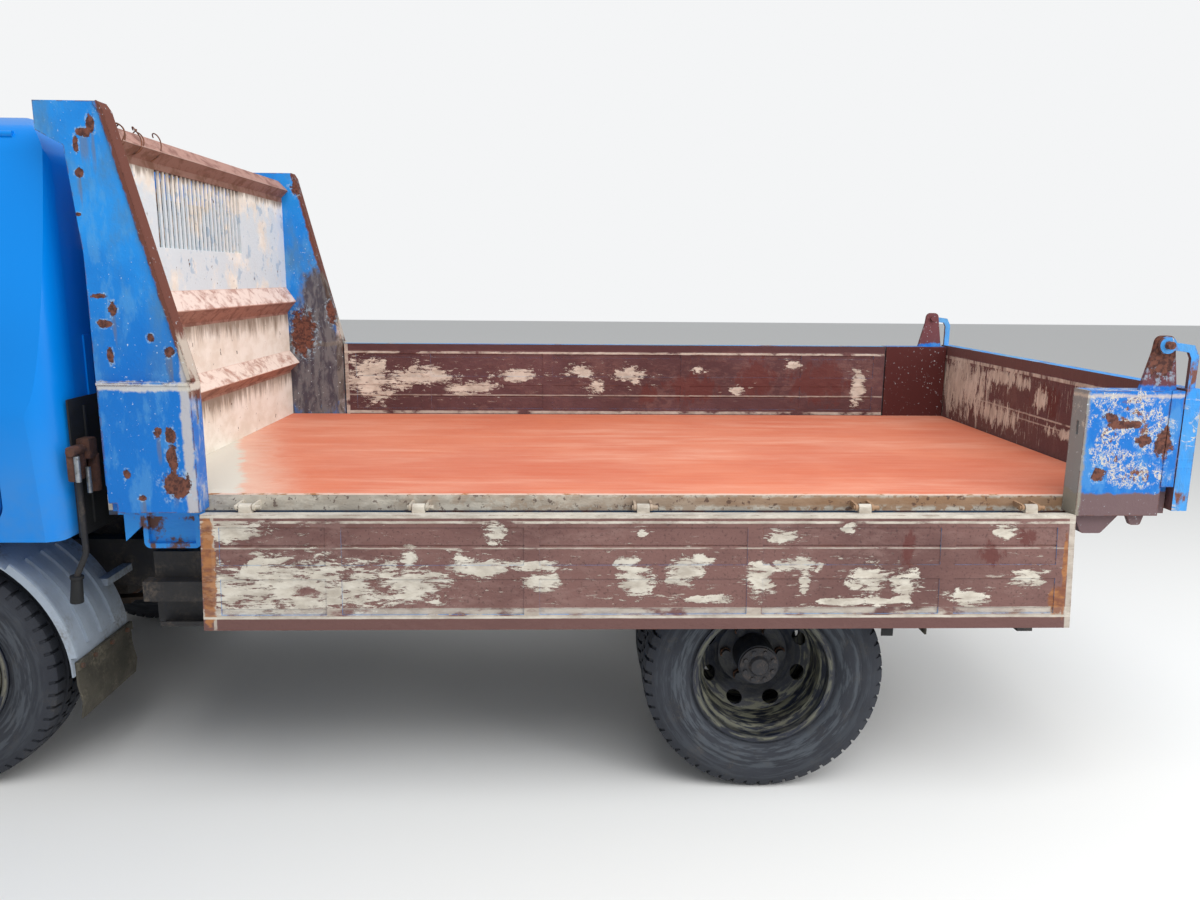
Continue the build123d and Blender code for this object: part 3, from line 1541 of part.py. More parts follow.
nodes = {
    "frame": frame,
    "sub_frame": sub_frame,
    "engine_block": engine_block,
    "front_axle": front_axle,
    "rear_axle": rear_axle,
    "leaf_springs": leaf_springs,
    "fuel_tank": fuel_tank,
    "exhaust": exhaust,
    "battery_box": battery_box,
    "knuckle_left": knuckle_left,
    "knuckle_right": knuckle_right,
    "tie_rod": tie_rod,
    "rim_front_left": rim_front_left,
    "rim_front_right": rim_front_right,
    "tyre_front_left": tyre_front_left,
    "tyre_front_right": tyre_front_right,
    "rims_rear_left": rims_rear_left,
    "rims_rear_right": rims_rear_right,
    "tyres_rear_left": tyres_rear_left,
    "tyres_rear_right": tyres_rear_right,
    "front_wings": front_wings,
    "mud_flaps": mud_flaps,
    "front_bumper": front_bumper,
    "rear_bumper": rear_bumper,
    "lamps": lamps,
    "bed_floor": bed_floor,
    "headboard": headboard,
    "front_guards": front_guards,
    "rear_posts": rear_posts,
    "gate_left": gate_left,
    "gate_right": gate_right,
    "tailgate": tailgate,
    "hoist_barrel": hoist_barrel,
    "hoist_rod": hoist_rod,
    "cab_shell": cab_shell,
    "cab_windows": cab_windows,
    "seats": seats,
    "dashboard": dashboard,
    "steering_wheel": steering_wheel,
    "grille": grille,
    "mirrors": mirrors,
    "door_left": door_left,
    "door_right": door_right,
    "door_glass_left": door_glass_left,
    "door_glass_right": door_glass_right,
}

os.makedirs("parts", exist_ok=True)
for name, builder in nodes.items():
    builder.part.label = name
    export_step(builder.part, f"parts/{name}.step")
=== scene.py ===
import bmesh
import bpy
import math
import random
from mathutils import Matrix, Vector


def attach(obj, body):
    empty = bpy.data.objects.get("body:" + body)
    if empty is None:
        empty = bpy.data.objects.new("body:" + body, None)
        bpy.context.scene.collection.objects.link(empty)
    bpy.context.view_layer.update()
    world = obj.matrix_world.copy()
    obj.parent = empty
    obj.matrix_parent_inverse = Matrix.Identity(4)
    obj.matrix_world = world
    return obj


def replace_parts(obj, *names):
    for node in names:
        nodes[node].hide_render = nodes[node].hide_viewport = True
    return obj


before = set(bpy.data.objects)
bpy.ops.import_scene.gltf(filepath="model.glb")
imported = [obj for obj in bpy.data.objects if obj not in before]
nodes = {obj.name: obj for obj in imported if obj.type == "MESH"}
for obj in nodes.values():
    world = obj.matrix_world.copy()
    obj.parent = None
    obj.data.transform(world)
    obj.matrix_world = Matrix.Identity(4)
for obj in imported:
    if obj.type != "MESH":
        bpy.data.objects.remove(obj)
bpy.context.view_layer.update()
random.seed(11)
print("frame loaded:", len(nodes), "nodes")

# View and studio
cameraSetup = {
    "place": (3.361, 0.595, 1.554),
    "focalLength": 27.0,
    "filmWidth": 36,
    "turnToRear": 0.0312,
    "tiltDown": 0.1884,
    "roll": 0.0085,
}
studio = {
    "floorHex": "#e9e9e7",
    "floorRough": 0.85,
    "floorSize": 60,
    "backdropHex": "#f4f5f6",
    "skyHex": "#f3f5f8",
    "skyStrength": 0.6,
    "keyPower": 260,
    "keyPlace": (3.4, 1.7, 6.2),
    "fillPower": 235,
    "fillPlace": (2.9, 6.2, 3.6),
    "lampSize": 5.0,
    "lampAim": (0, 0.6, 0.8),
}
# colours that several finishes share
palette = {
    "bedBlue": "#1f90e4", "bedBlueFaded": "#5fa2d2", "bedBlueDeep": "#006bc2", "bedBlueGrey": "#4f7d9f",
    "cream": "#cfc7b8", "creamDirty": "#a3988b", "creamPale": "#e2dccf", "creamBlue": "#d3dfe6",
    "gateBrown": "#7b5852", "gateBrownDark": "#664642", "gateBrownPale": "#8f716a", "gateSpeck": "#3f2b2a",
    # the closed gate's and the tailgate's browns are the gate browns darkened as painted shade
    "shadedGateBrown": "#613f41", "shadedGateBrownDark": "#4f2f31", "farRed": "#5e2924",
    "rust": "#74483a", "rustDark": "#4a2f2b", "rustOrange": "#a97142",
    "floorPrimer": "#e07c58", "floorPale": "#f0b096", "floorDeep": "#cf6445", "cabAzure": "#008bea",
}
# the wheels' axles: place along the truck, and height
axles = {"front": -1.32, "rear": 1.18, "height": 0.368}


def toLinear(hexText):
    # sRGB hex to Blender's linear colour
    parts = [int(hexText[i:i + 2], 16) / 255 for i in (1, 3, 5)]
    return tuple(c / 12.92 if c <= 0.04045 else ((c + 0.055) / 1.055) ** 2.4 for c in parts) + (1.0,)


def placeCamera(setup):
    ahead, right, up = Vector((-1, 0, 0)), Vector((0, 1, 0)), Vector((0, 0, 1))
    yaw, pitch, roll = setup["turnToRear"], setup["tiltDown"], setup["roll"]
    turned = math.cos(yaw) * ahead + math.sin(yaw) * right
    side = math.cos(yaw) * right - math.sin(yaw) * ahead
    look = math.cos(pitch) * turned - math.sin(pitch) * up
    head = math.sin(pitch) * turned + math.cos(pitch) * up
    camX = math.cos(roll) * side + math.sin(roll) * head
    camY = math.cos(roll) * head - math.sin(roll) * side
    data = bpy.data.cameras.new("photoView")
    data.lens = setup["focalLength"]
    data.sensor_width = setup["filmWidth"]
    camera = bpy.data.objects.new("photoView", data)
    bpy.context.scene.collection.objects.link(camera)
    turn = Matrix((camX, camY, -look)).transposed().to_4x4()
    camera.matrix_world = Matrix.Translation(setup["place"]) @ turn
    bpy.context.scene.camera = camera


def addNode(tree, kind, settings=None, inputs=None):
    # adds a node; an input is a socket to link, a colour by hex or by its palette name, or a value
    node = tree.nodes.new(kind)
    for key, value in (settings or {}).items():
        setattr(node, key, value)
    for key, value in (inputs or {}).items():
        if isinstance(value, bpy.types.NodeSocket):
            tree.links.new(value, node.inputs[key])
        elif isinstance(value, str):
            node.inputs[key].default_value = toLinear(palette.get(value, value))
        else:
            node.inputs[key].default_value = value
    return node


def setStage(setup):
    scene = bpy.context.scene
    scene.view_settings.view_transform = "Standard"
    world = bpy.data.worlds.new("paleStudio")
    scene.world = world
    world.use_nodes = True
    tree = world.node_tree
    tree.nodes.clear()
    path = addNode(tree, "ShaderNodeLightPath")
    seen = addNode(tree, "ShaderNodeMath", {"operation": "MAXIMUM"},
                   {0: path.outputs["Is Camera Ray"], 1: path.outputs["Is Transmission Ray"]})
    lit = addNode(tree, "ShaderNodeBackground",
                  inputs={"Color": setup["skyHex"], "Strength": setup["skyStrength"]})
    shown = addNode(tree, "ShaderNodeBackground",
                    inputs={"Color": setup["backdropHex"], "Strength": 1.0})
    both = addNode(tree, "ShaderNodeMixShader",
                   inputs={0: seen.outputs[0], 1: lit.outputs[0], 2: shown.outputs[0]})
    addNode(tree, "ShaderNodeOutputWorld", inputs={"Surface": both.outputs[0]})

    floorMesh = bpy.data.meshes.new("studioFloor")
    bm = bmesh.new()
    bmesh.ops.create_grid(bm, x_segments=1, y_segments=1, size=setup["floorSize"] / 2)
    bm.to_mesh(floorMesh)
    bm.free()
    floor = bpy.data.objects.new("studioFloor", floorMesh)
    scene.collection.objects.link(floor)
    paper = bpy.data.materials.new("studioPaper")
    paper.use_nodes = True
    shader = paper.node_tree.nodes["Principled BSDF"]
    shader.inputs["Base Color"].default_value = toLinear(setup["floorHex"])
    shader.inputs["Roughness"].default_value = setup["floorRough"]
    floorMesh.materials.append(paper)

    for name in ("key", "fill"):
        lamp = bpy.data.lights.new(name + "Lamp", "AREA")
        lamp.energy = setup[name + "Power"]
        lamp.size = setup["lampSize"]
        holder = bpy.data.objects.new(name + "Lamp", lamp)
        scene.collection.objects.link(holder)
        place = Vector(setup[name + "Place"])
        aim = (Vector(setup["lampAim"]) - place).to_track_quat("-Z", "Y")
        holder.matrix_world = Matrix.Translation(place) @ aim.to_matrix().to_4x4()


placeCamera(cameraSetup)
setStage(studio)
print("camera and studio set")


# Finishes: a coat is a colour and a roughness, laid over another by masks
def startFinish(name):
    material = bpy.data.materials.new(name)
    material.use_nodes = True
    tree = material.node_tree
    tree.nodes.clear()
    addNode(tree, "ShaderNodeTexCoord", {"name": "place"})
    return material, tree


def grain(tree, size, stretch=(1, 1, 1), detail=5, rough=0.62, warp=0.0, shift=(0, 0, 0)):
    # plain noise around 0.5, size in metres; a stretch under 1 draws it out along that axis
    moved = addNode(tree, "ShaderNodeMapping", inputs={
        "Vector": tree.nodes["place"].outputs["Object"], "Scale": stretch, "Location": shift})
    return addNode(tree, "ShaderNodeTexNoise", inputs={
        "Vector": moved.outputs[0], "Scale": 1 / size, "Detail": detail,
        "Roughness": rough, "Distortion": warp}).outputs[0]


def joined(tree, *masks, how="MULTIPLY"):
    # MULTIPLY keeps what the masks share, MAXIMUM lays them beside each other; a mask can be a plain number
    result = masks[0]
    for mask in masks[1:]:
        result = addNode(tree, "ShaderNodeMath", {"operation": how}, {0: result, 1: mask}).outputs[0]
    return result


def step(tree, value, low, high, *others):
    # 0 at low, 1 at high, also where high is the smaller; other masks cut it down further
    own = addNode(tree, "ShaderNodeMapRange", {"interpolation_type": "SMOOTHSTEP"}, {
        "Value": value, "From Min": low, "From Max": high}).outputs[0]
    return joined(tree, own, *others)


def clouds(tree, size, low, high, stretch=(1, 1, 1), detail=5, warp=0.0, shift=(0, 0, 0)):
    return step(tree, grain(tree, size, stretch, detail, warp=warp, shift=shift), low, high)


def wisps(tree, size, width, stretch=(1, 1, 1), warp=1.0, shift=(0, 0, 0)):
    # thin curling scratches: the noise's own contour lines
    off = joined(tree, grain(tree, size, stretch, 4, 0.55, warp, shift), 0.5, how="SUBTRACT")
    line = addNode(tree, "ShaderNodeMath", {"operation": "ABSOLUTE"}, {0: off}).outputs[0]
    return step(tree, line, width, width * 0.5)


def along(tree, direction, ragged=None, reach=0.02):
    # distance along a direction of the truck, made ragged by a noise
    value = addNode(tree, "ShaderNodeVectorMath", {"operation": "DOT_PRODUCT"},
                    {0: tree.nodes["place"].outputs["Object"], 1: direction}).outputs["Value"]
    if ragged is not None:
        value = addNode(tree, "ShaderNodeMath", {"operation": "MULTIPLY_ADD"},
                        {0: ragged, 1: reach, 2: value}).outputs[0]
    return value


def span(tree, axis, low, high, soft=0.01, ragged=None, reach=0.02):
    # 1 between two places along an axis or a direction, with soft or ragged ends
    direction = axis if isinstance(axis, tuple) else tuple(float(i == axis) for i in range(3))
    value = along(tree, direction, ragged, reach)
    return step(tree, value, low - soft, low + soft, step(tree, value, high + soft, high - soft))


def facing(tree, direction, least=0.6):
    # 1 where the surface looks along a direction of the truck
    dot = addNode(tree, "ShaderNodeVectorMath", {"operation": "DOT_PRODUCT"},
                  {0: tree.nodes["place"].outputs["Normal"], 1: direction})
    return joined(tree, dot.outputs["Value"], least, how="GREATER_THAN")


def edges(tree, width, low=0.015, high=0.12):
    # 1 along convex and concave edges, where paint chips first
    soft = addNode(tree, "ShaderNodeBevel", {"samples": 4}, {"Radius": width})
    flat = addNode(tree, "ShaderNodeNewGeometry")
    dot = addNode(tree, "ShaderNodeVectorMath", {"operation": "DOT_PRODUCT"},
                  {0: soft.outputs[0], 1: flat.outputs["Normal"]})
    return step(tree, dot.outputs["Value"], 1 - low, 1 - high)


def nearestSpot(tree, rows, ragged, reach):
    # 1 at the rim of the nearest patch, 0 at its centre; each row: centre and half sizes in metres
    aways = []
    for centre, half in rows:
        moved = addNode(tree, "ShaderNodeMapping", inputs={
            "Vector": tree.nodes["place"].outputs["Object"],
            "Scale": [1 / h for h in half],
            "Location": [-c / h for c, h in zip(centre, half)]})
        aways.append(addNode(tree, "ShaderNodeVectorMath", {"operation": "LENGTH"},
                             {0: moved.outputs[0]}).outputs["Value"])
    rough = addNode(tree, "ShaderNodeMath", {"operation": "MULTIPLY_ADD"},
                    {0: ragged, 1: -reach, 2: joined(tree, *aways, how="MINIMUM")}).outputs[0]
    # the noise is centred on 0.5, so half the reach is given back
    return joined(tree, rough, reach / 2, how="ADD")


def spotsOn(axis, at, depth, rows):
    # patches on a wall across an axis, from rows of two places on it and two half sizes
    spots = []
    for first, second, firstHalf, secondHalf in rows:
        centre, half = [first, second], [firstHalf, secondHalf]
        centre.insert(axis, at)
        half.insert(axis, depth)
        spots.append((centre, half))
    return spots


def layCoat(tree, under, over, *masks):
    # lies where all the masks let it; the last one is often a plain share
    mask = joined(tree, *masks)
    colour = addNode(tree, "ShaderNodeMix", {"data_type": "RGBA"},
                     {0: mask, 6: under[0], 7: over[0]}).outputs[2]
    rough = addNode(tree, "ShaderNodeMix", {"data_type": "FLOAT"},
                    {0: mask, 2: under[1], 3: over[1]}).outputs[0]
    return colour, rough


def finishCoat(tree, coat, heights, **shader):
    # heights: pairs of a mask and its height in metres, added up as bump
    relief = {}
    for mask, height in heights:
        bump = addNode(tree, "ShaderNodeBump", inputs={
            "Height": mask, "Distance": height, "Strength": 1.0, **relief})
        relief = {"Normal": bump.outputs[0]}
    bsdf = addNode(tree, "ShaderNodeBsdfPrincipled", inputs={
        "Base Color": coat[0], "Roughness": coat[1], **shader, **relief})
    addNode(tree, "ShaderNodeOutputMaterial", inputs={"Surface": bsdf.outputs[0]})


# wear on the load side of the gates and the tailgate, with painted shade in the closed gate's and the
# tailgate's darker browns; lines: axis, from, to, share
gateLeftLook = {
    "innerWay": (1, 0, 0), "browns": ("gateBrown", "gateBrownDark", "gateBrownPale"),
    "stretch": (1, 0.42, 1), "zone": (0.60, 0.876),
    "patches": spotsOn(0, 0.92, 0.5, [
        (-0.19, 0.685, 0.27, 0.085), (0.14, 0.695, 0.10, 0.062), (0.134, 0.765, 0.026, 0.035),
        (0.32, 0.742, 0.10, 0.026), (0.49, 0.748, 0.10, 0.018), (0.51, 0.705, 0.055, 0.034),
        (0.775, 0.70, 0.062, 0.052), (0.75, 0.755, 0.045, 0.022), (0.92, 0.73, 0.055, 0.04),
        (0.965, 0.765, 0.04, 0.016), (1.135, 0.70, 0.042, 0.046), (1.245, 0.752, 0.06, 0.02),
        (1.265, 0.70, 0.016, 0.035), (1.45, 0.70, 0.056, 0.055), (1.555, 0.688, 0.045, 0.05),
        (1.19, 0.832, 0.045, 0.022), (1.39, 0.855, 0.024, 0.014), (0.795, 0.842, 0.016, 0.01),
        (0.38, 0.845, 0.03, 0.032), (1.845, 0.845, 0.035, 0.02), (1.74, 0.655, 0.05, 0.022),
        (1.92, 0.71, 0.05, 0.03), (-0.36, 0.845, 0.10, 0.03), (0.98, 0.648, 0.08, 0.01),
        (1.40, 0.64, 0.12, 0.012),
    ]),
    "holes": spotsOn(0, 0.92, 0.5, [(-0.15, 0.672, 0.045, 0.016), (0.42, 0.708, 0.03, 0.014)]),
    "reds": spotsOn(0, 0.92, 0.5, [
        (1.80, 0.775, 0.055, 0.035), (1.56, 0.79, 0.02, 0.06), (1.90, 0.83, 0.03, 0.03)]),
    "oranges": spotsOn(0, 0.92, 0.5, [
        (-0.430, 0.74, 0.021, 0.20), (2.005, 0.645, 0.025, 0.045), (2.025, 0.72, 0.008, 0.13)]),
    # solid cream along the rims and the crease, and worn cream
    "lines": [(2, 0.886, 0.93, 0.95), (2, 0.5965, 0.6035, 0.95), (1, 2.034, 2.06, 0.7)],
    "wornLines": [(2, 0.872, 0.879, 0.9), (2, 0.7985, 0.8025, 0.6), (2, 0.604, 0.628, 0.7),
                  (1, -0.418, -0.409, 0.7)],
    "plain": (0.5, 0.594),
}
gateRightLook = {
    # darker browns than the lowered gate's: painted shade
    "innerWay": (1, 0, 0), "browns": ("shadedGateBrown", "shadedGateBrownDark", "gateBrown"),
    "stretch": (1, 0.5, 1), "zone": (0.96, 1.215),
    "patches": spotsOn(0, -0.8, 0.5, [
        (-0.34, 1.08, 0.09, 0.11), (-0.12, 1.10, 0.16, 0.055), (0.12, 1.05, 0.12, 0.035),
        (0.34, 1.11, 0.10, 0.03), (0.62, 1.13, 0.07, 0.025), (0.70, 1.06, 0.05, 0.03),
        (0.86, 1.11, 0.07, 0.035), (1.18, 1.14, 0.035, 0.02), (1.36, 1.05, 0.04, 0.02),
        (1.62, 1.16, 0.03, 0.02), (1.93, 1.06, 0.03, 0.09),
    ]),
    "holes": spotsOn(0, -0.8, 0.5, [(-0.05, 1.04, 0.06, 0.03)]),
    "reds": spotsOn(0, -0.8, 0.5, [
        (1.15, 1.05, 0.12, 0.07), (1.45, 1.10, 0.10, 0.09), (1.75, 1.08, 0.14, 0.10),
        (0.95, 1.02, 0.05, 0.05)]),
    "oranges": [],
    "lines": [],
    "wornLines": [(2, 1.212, 1.222, 0.8), (2, 1.018, 1.024, 0.5), (2, 0.935, 0.948, 0.7),
                  (1, -0.447, -0.43, 0.6)],
    "plain": (1.225, 1.4),
}
tailLook = {
    # darker browns than the lowered gate's: painted shade
    "innerWay": (0, -1, 0), "browns": ("shadedGateBrown", "gateBrownDark", "gateBrown"),
    "stretch": (1.2, 1, 0.35), "zone": (0.93, 1.215),
    "patches": spotsOn(1, 2.34, 0.5, [
        (-0.60, 1.10, 0.26, 0.14), (-0.28, 1.02, 0.22, 0.05), (-0.20, 1.17, 0.24, 0.03),
        (0.08, 1.12, 0.05, 0.05), (0.36, 1.15, 0.06, 0.05), (0.70, 1.10, 0.09, 0.11),
        (0.42, 1.02, 0.3, 0.02),
    ]),
    "holes": [],
    "reds": spotsOn(1, 2.34, 0.5, [(0.12, 1.13, 0.14, 0.05), (0.45, 1.13, 0.09, 0.05)]),
    "oranges": [],
    "lines": [],
    "wornLines": [(2, 1.205, 1.218, 0.9), (2, 1.056, 1.062, 0.7), (2, 1.032, 1.037, 0.6)],
    "plain": (1.222, 1.4),
}


def flakedGate(name, look):
    # Alkyd enamel, cream over brown primer, scraped by loads: matt, torn in streaks, specked with old rust
    material, tree = startFinish(name)
    # the closed gate and the tailgate pass darker browns, which are painted shade
    brown, dark, pale = look["browns"]
    stretch = look["stretch"]
    fine = clouds(tree, 0.022, 0.4, 0.64, stretch, 6)
    broad = clouds(tree, 0.4, 0.36, 0.64, (1, 0.6, 1), 4)
    torn = grain(tree, 0.045, stretch, 10, 0.74, 0.5)
    thin = [v * (0.45 if v < 1 else 1.2) for v in stretch]
    streak = grain(tree, 0.014, thin, 8, 0.75, 0.2, (4, 2, 0))
    inner = layCoat(tree, (brown, 0.74), (dark, 0.82), broad)
    inner = layCoat(tree, inner, (pale, 0.74), fine, clouds(tree, 0.2, 0.4, 0.66, stretch, 4), 0.6)
    inner = layCoat(tree, inner, ("gateSpeck", 0.85),
                    clouds(tree, 0.0075, 0.56, 0.68, detail=3, shift=(0, 5, 0)), 0.55)
    stain = grain(tree, 0.05, (1, 1, 0.5), 9, 0.75, 0.3, (1, 1, 3))
    red = step(tree, nearestSpot(tree, look["reds"], stain, 4.0), 1.1, 0.6)
    inner = layCoat(tree, inner, ("farRed", 0.8), red, 0.75)

    away = nearestSpot(tree, look["patches"], torn, 4.2)
    # the middle keeps its cream, the rim is scraped through
    hold = addNode(tree, "ShaderNodeMath", {"operation": "MULTIPLY_ADD"},
                   {0: away, 1: 0.16, 2: streak}).outputs[0]
    patch = step(tree, away, 1.1, 0.96, step(tree, hold, 0.665, 0.625))
    if look["holes"]:
        patch = joined(tree, patch, step(tree, nearestSpot(tree, look["holes"], torn, 6.0), 0.6, 1.2))
    flecks = step(tree, away, 3.0, 1.2, step(tree, streak, 0.6, 0.63))
    coatMask = joined(tree, joined(tree, patch, flecks, how="MAXIMUM"), span(tree, 2, *look["zone"], 0.006))
    breaks = clouds(tree, 0.05, 0.36, 0.5, stretch, 7, shift=(9, 0, 2))
    for axis, low, high, share in look["wornLines"]:
        line = joined(tree, span(tree, axis, low, high, 0.0012, torn, 0.006), breaks, share)
        coatMask = joined(tree, coatMask, line, how="MAXIMUM")
    low, high = look["plain"]
    height = along(tree, (0, 0, 1))
    inner = layCoat(tree, inner, (dark, 0.8), step(tree, height, low, low + 0.001),
                    step(tree, height, high, high - 0.001), 0.8)
    cream = layCoat(tree, ("cream", 0.6), ("creamDirty", 0.7),
                    clouds(tree, 0.05, 0.36, 0.62, stretch, 6), 0.7)
    cream = layCoat(tree, cream, ("creamPale", 0.6), fine, 0.5)
    inner = layCoat(tree, inner, cream, coatMask)
    if look["oranges"]:
        orange = step(tree, nearestSpot(tree, look["oranges"], torn, 2.2), 1.05, 0.8)
        flaking = layCoat(tree, ("rustOrange", 0.85), ("#7d4b34", 0.88), fine)
        inner = layCoat(tree, inner, flaking, orange, 0.9)

    outer = layCoat(tree, ("bedBlue", 0.5), ("bedBlueFaded", 0.6), broad)
    outer = layCoat(tree, outer, ("bedBlueGrey", 0.6), fine, 0.4)
    outer = layCoat(tree, outer, ("cream", 0.65), wisps(tree, 0.05, 0.02, (1, 0.6, 1)),
                    clouds(tree, 0.2, 0.5, 0.6, shift=(2, 2, 0)))
    outer = layCoat(tree, outer, ("rust", 0.85), clouds(tree, 0.14, 0.54, 0.62, detail=8, shift=(3, 1, 0)),
                    step(tree, streak, 0.45, 0.52))
    coat = layCoat(tree, outer, inner, facing(tree, look["innerWay"], 0.5))
    for axis, low, high, share in look["lines"]:
        coat = layCoat(tree, coat, cream, span(tree, axis, low, high, 0.0012, torn, 0.004), share)
    coat = layCoat(tree, coat, ("rust", 0.85), edges(tree, 0.006),
                   clouds(tree, 0.05, 0.5, 0.6, detail=7), 0.8)
    finishCoat(tree, coat, [(coatMask, 0.0005), (fine, 0.0007), (red, -0.0004)])
    return material


def rustedEnamel(tree, coat, rows, edgeShare):
    # pits and tears: a pale rim, dark rust in the middle, and a brown run below the middling ones
    torn = grain(tree, 0.03, (1, 1, 0.8), 9, 0.75, 0.4, (6, 0, 0))
    away = nearestSpot(tree, rows, torn, 3.0)
    runs = [((x, y, z - 1.6 * halfZ - 0.02), (halfX, halfY * 0.8, halfZ * 1.6 + 0.03))
            for (x, y, z), (halfX, halfY, halfZ) in rows if 0.0095 < halfY < 0.018]
    if runs:
        run = nearestSpot(tree, runs, grain(tree, 0.02, (1, 2, 0.15), 5, 0.6, 0, (0, 3, 0)), 2.5)
        coat = layCoat(tree, coat, ("#6f6a5c", 0.7), step(tree, run, 1.1, 0.3), 0.5)
    coat = layCoat(tree, coat, ("#a9c4d6", 0.6), step(tree, away, 1.7, 1.2),
                   clouds(tree, 0.014, 0.47, 0.6), 0.55)
    rust = layCoat(tree, ("rust", 0.88), ("rustDark", 0.92), clouds(tree, 0.012, 0.4, 0.62))
    chips = joined(tree, edges(tree, 0.007), clouds(tree, 0.05, 0.47, 0.53, detail=8), edgeShare)
    core = joined(tree, step(tree, away, 1.12, 0.96), chips, how="MAXIMUM")
    return layCoat(tree, coat, rust, core), core


def bluePanelFinish(name, look):
    # Brushed enamel over steel plate: satin blue, chalked by sun, blown through by rust in named places
    material, tree = startFinish(name)
    broad = clouds(tree, 0.45, 0.35, 0.65, detail=4)
    fine = clouds(tree, 0.02, 0.4, 0.62)
    torn = grain(tree, 0.05, (1, 1, 0.7), 9, 0.7, 0.5)
    coat = layCoat(tree, ("bedBlue", 0.45), ("bedBlueDeep", 0.4), broad, 0.6)
    coat = layCoat(tree, coat, ("bedBlueDeep", 0.42),
                   step(tree, along(tree, (0, 0, 1), torn, 0.2), 1.75, 1.35), 0.85)
    coat = layCoat(tree, coat, ("bedBlueGrey", 0.5),
                   clouds(tree, 0.14, 0.46, 0.7, (1, 1, 0.5), 7, shift=(0, 2, 0)),
                   step(tree, along(tree, (0, 0, 1)), 1.0, 1.6), 0.8)
    coat = layCoat(tree, coat, ("bedBlueFaded", 0.55),
                   clouds(tree, 0.06, 0.5, 0.62, (1, 1, 0.4), 8, shift=(8, 0, 0)), 0.35)
    for direction, low, high, hexText, share in look["bands"]:
        coat = layCoat(tree, coat, (hexText, 0.85),
                       span(tree, direction, low, high, 0.004, torn, 0.035), share)
    if look["grime"]:
        dirty = step(tree, nearestSpot(tree, look["grime"], torn, 1.6), 1.15, 0.7)
        mixed = layCoat(tree, ("#6f6a64", 0.85), ("#4a403b", 0.9),
                        clouds(tree, 0.03, 0.42, 0.6, (1, 1, 0.35), 7, 0.3, (2, 2, 2)))
        coat = layCoat(tree, coat, mixed, dirty, 0.94)
    if look["scratched"]:
        spread = nearestSpot(tree, look["scratched"], torn, 3.0)
        marks = joined(tree, wisps(tree, 0.022, 0.035),
                       wisps(tree, 0.016, 0.03, (1, 1.3, 0.7), 1.6, (4, 1, 2)), how="MAXIMUM")
        coat = layCoat(tree, coat, ("rust", 0.85), step(tree, spread, 0.7, 0.3),
                       clouds(tree, 0.018, 0.52, 0.58, detail=4))
        coat = layCoat(tree, coat, ("cream", 0.65), marks, step(tree, spread, 1.3, 0.9),
                       clouds(tree, 0.03, 0.44, 0.5, shift=(1, 7, 0)))
    coat = layCoat(tree, coat, ("creamBlue", 0.6), clouds(tree, 0.01, 0.66, 0.7, detail=3), broad)
    coat, core = rustedEnamel(tree, coat, look["pits"], look["edgeShare"])
    finishCoat(tree, coat, [(core, -0.0008), (fine, 0.0003)], **{"Specular IOR Level": 0.35})
    return material


guardLook = {
    "edgeShare": 0.9, "scratched": [],
    "grime": spotsOn(0, -0.80, 0.06, [(-0.60, 1.12, 0.26, 0.26), (-0.55, 1.40, 0.10, 0.22)]),
    # the near guard: two torn curls, holes and chips; then the corner box and the far guard
    "pits": spotsOn(0, 0.85, 0.3, [
        (-0.667, 1.943, 0.010, 0.022), (-0.690, 1.918, 0.016, 0.009), (-0.711, 1.890, 0.007, 0.020),
        (-0.709, 1.816, 0.010, 0.011), (-0.722, 1.710, 0.008, 0.004), (-0.690, 1.496, 0.020, 0.007),
        (-0.655, 1.463, 0.010, 0.020), (-0.680, 1.422, 0.018, 0.010), (-0.672, 1.335, 0.009, 0.018),
        (-0.559, 1.385, 0.009, 0.010), (-0.512, 1.345, 0.013, 0.014),
    ]) + spotsOn(0, 0.87, 0.3, [
        (-0.552, 1.122, 0.010, 0.014), (-0.518, 1.115, 0.014, 0.020), (-0.517, 1.055, 0.014, 0.035),
        (-0.512, 0.975, 0.036, 0.036), (-0.648, 1.005, 0.009, 0.012), (-0.608, 0.937, 0.012, 0.008),
    ]) + spotsOn(0, -0.80, 0.04, [
        (-0.62, 1.94, 0.03, 0.03), (-0.50, 1.40, 0.02, 0.05), (-0.63, 1.30, 0.05, 0.09)]),
    # rust creeping in from the rear slope, and the weathered foot: direction, from, to, colour, share
    "bands": [((0, 0.970, 0.242), -0.131, -0.09, "#6a3f34", 1.0), ((0, 0, 1), 1.258, 1.28, "#d9d4c8", 0.8),
              ((0, 1, 0), -0.468, -0.44, "#cfc6b8", 0.75)],
}
postLook = {
    "edgeShare": 0.8, "grime": [],
    "scratched": spotsOn(0, 0.87, 0.3, [
        (2.17, 1.19, 0.09, 0.07), (2.25, 1.14, 0.06, 0.05), (2.15, 1.06, 0.07, 0.03),
        (2.22, 1.01, 0.08, 0.035), (2.13, 1.13, 0.03, 0.08)]),
    "pits": spotsOn(0, 0.87, 0.3, [
        (2.29, 1.10, 0.022, 0.045), (2.17, 1.155, 0.05, 0.012), (2.13, 1.175, 0.02, 0.014),
        (2.11, 1.01, 0.02, 0.02), (2.23, 1.11, 0.02, 0.016),
    ]) + spotsOn(0, 0.84, 0.2, [(2.27, 1.37, 0.05, 0.07)]),
    "bands": [((0, 0, 1), 0.80, 0.972, "#745a53", 0.95), ((0, 1, 0), 2.05, 2.081, "#928d80", 0.9),
              ((0, 0, 1), 1.252, 1.262, "#cfc0ae", 0.7), ((0, 0, 1), 1.285, 1.5, "#6e3a31", 0.95),
              ((-1, 0, 0), 0.79, 0.826, "#4f2220", 1.0)],
}


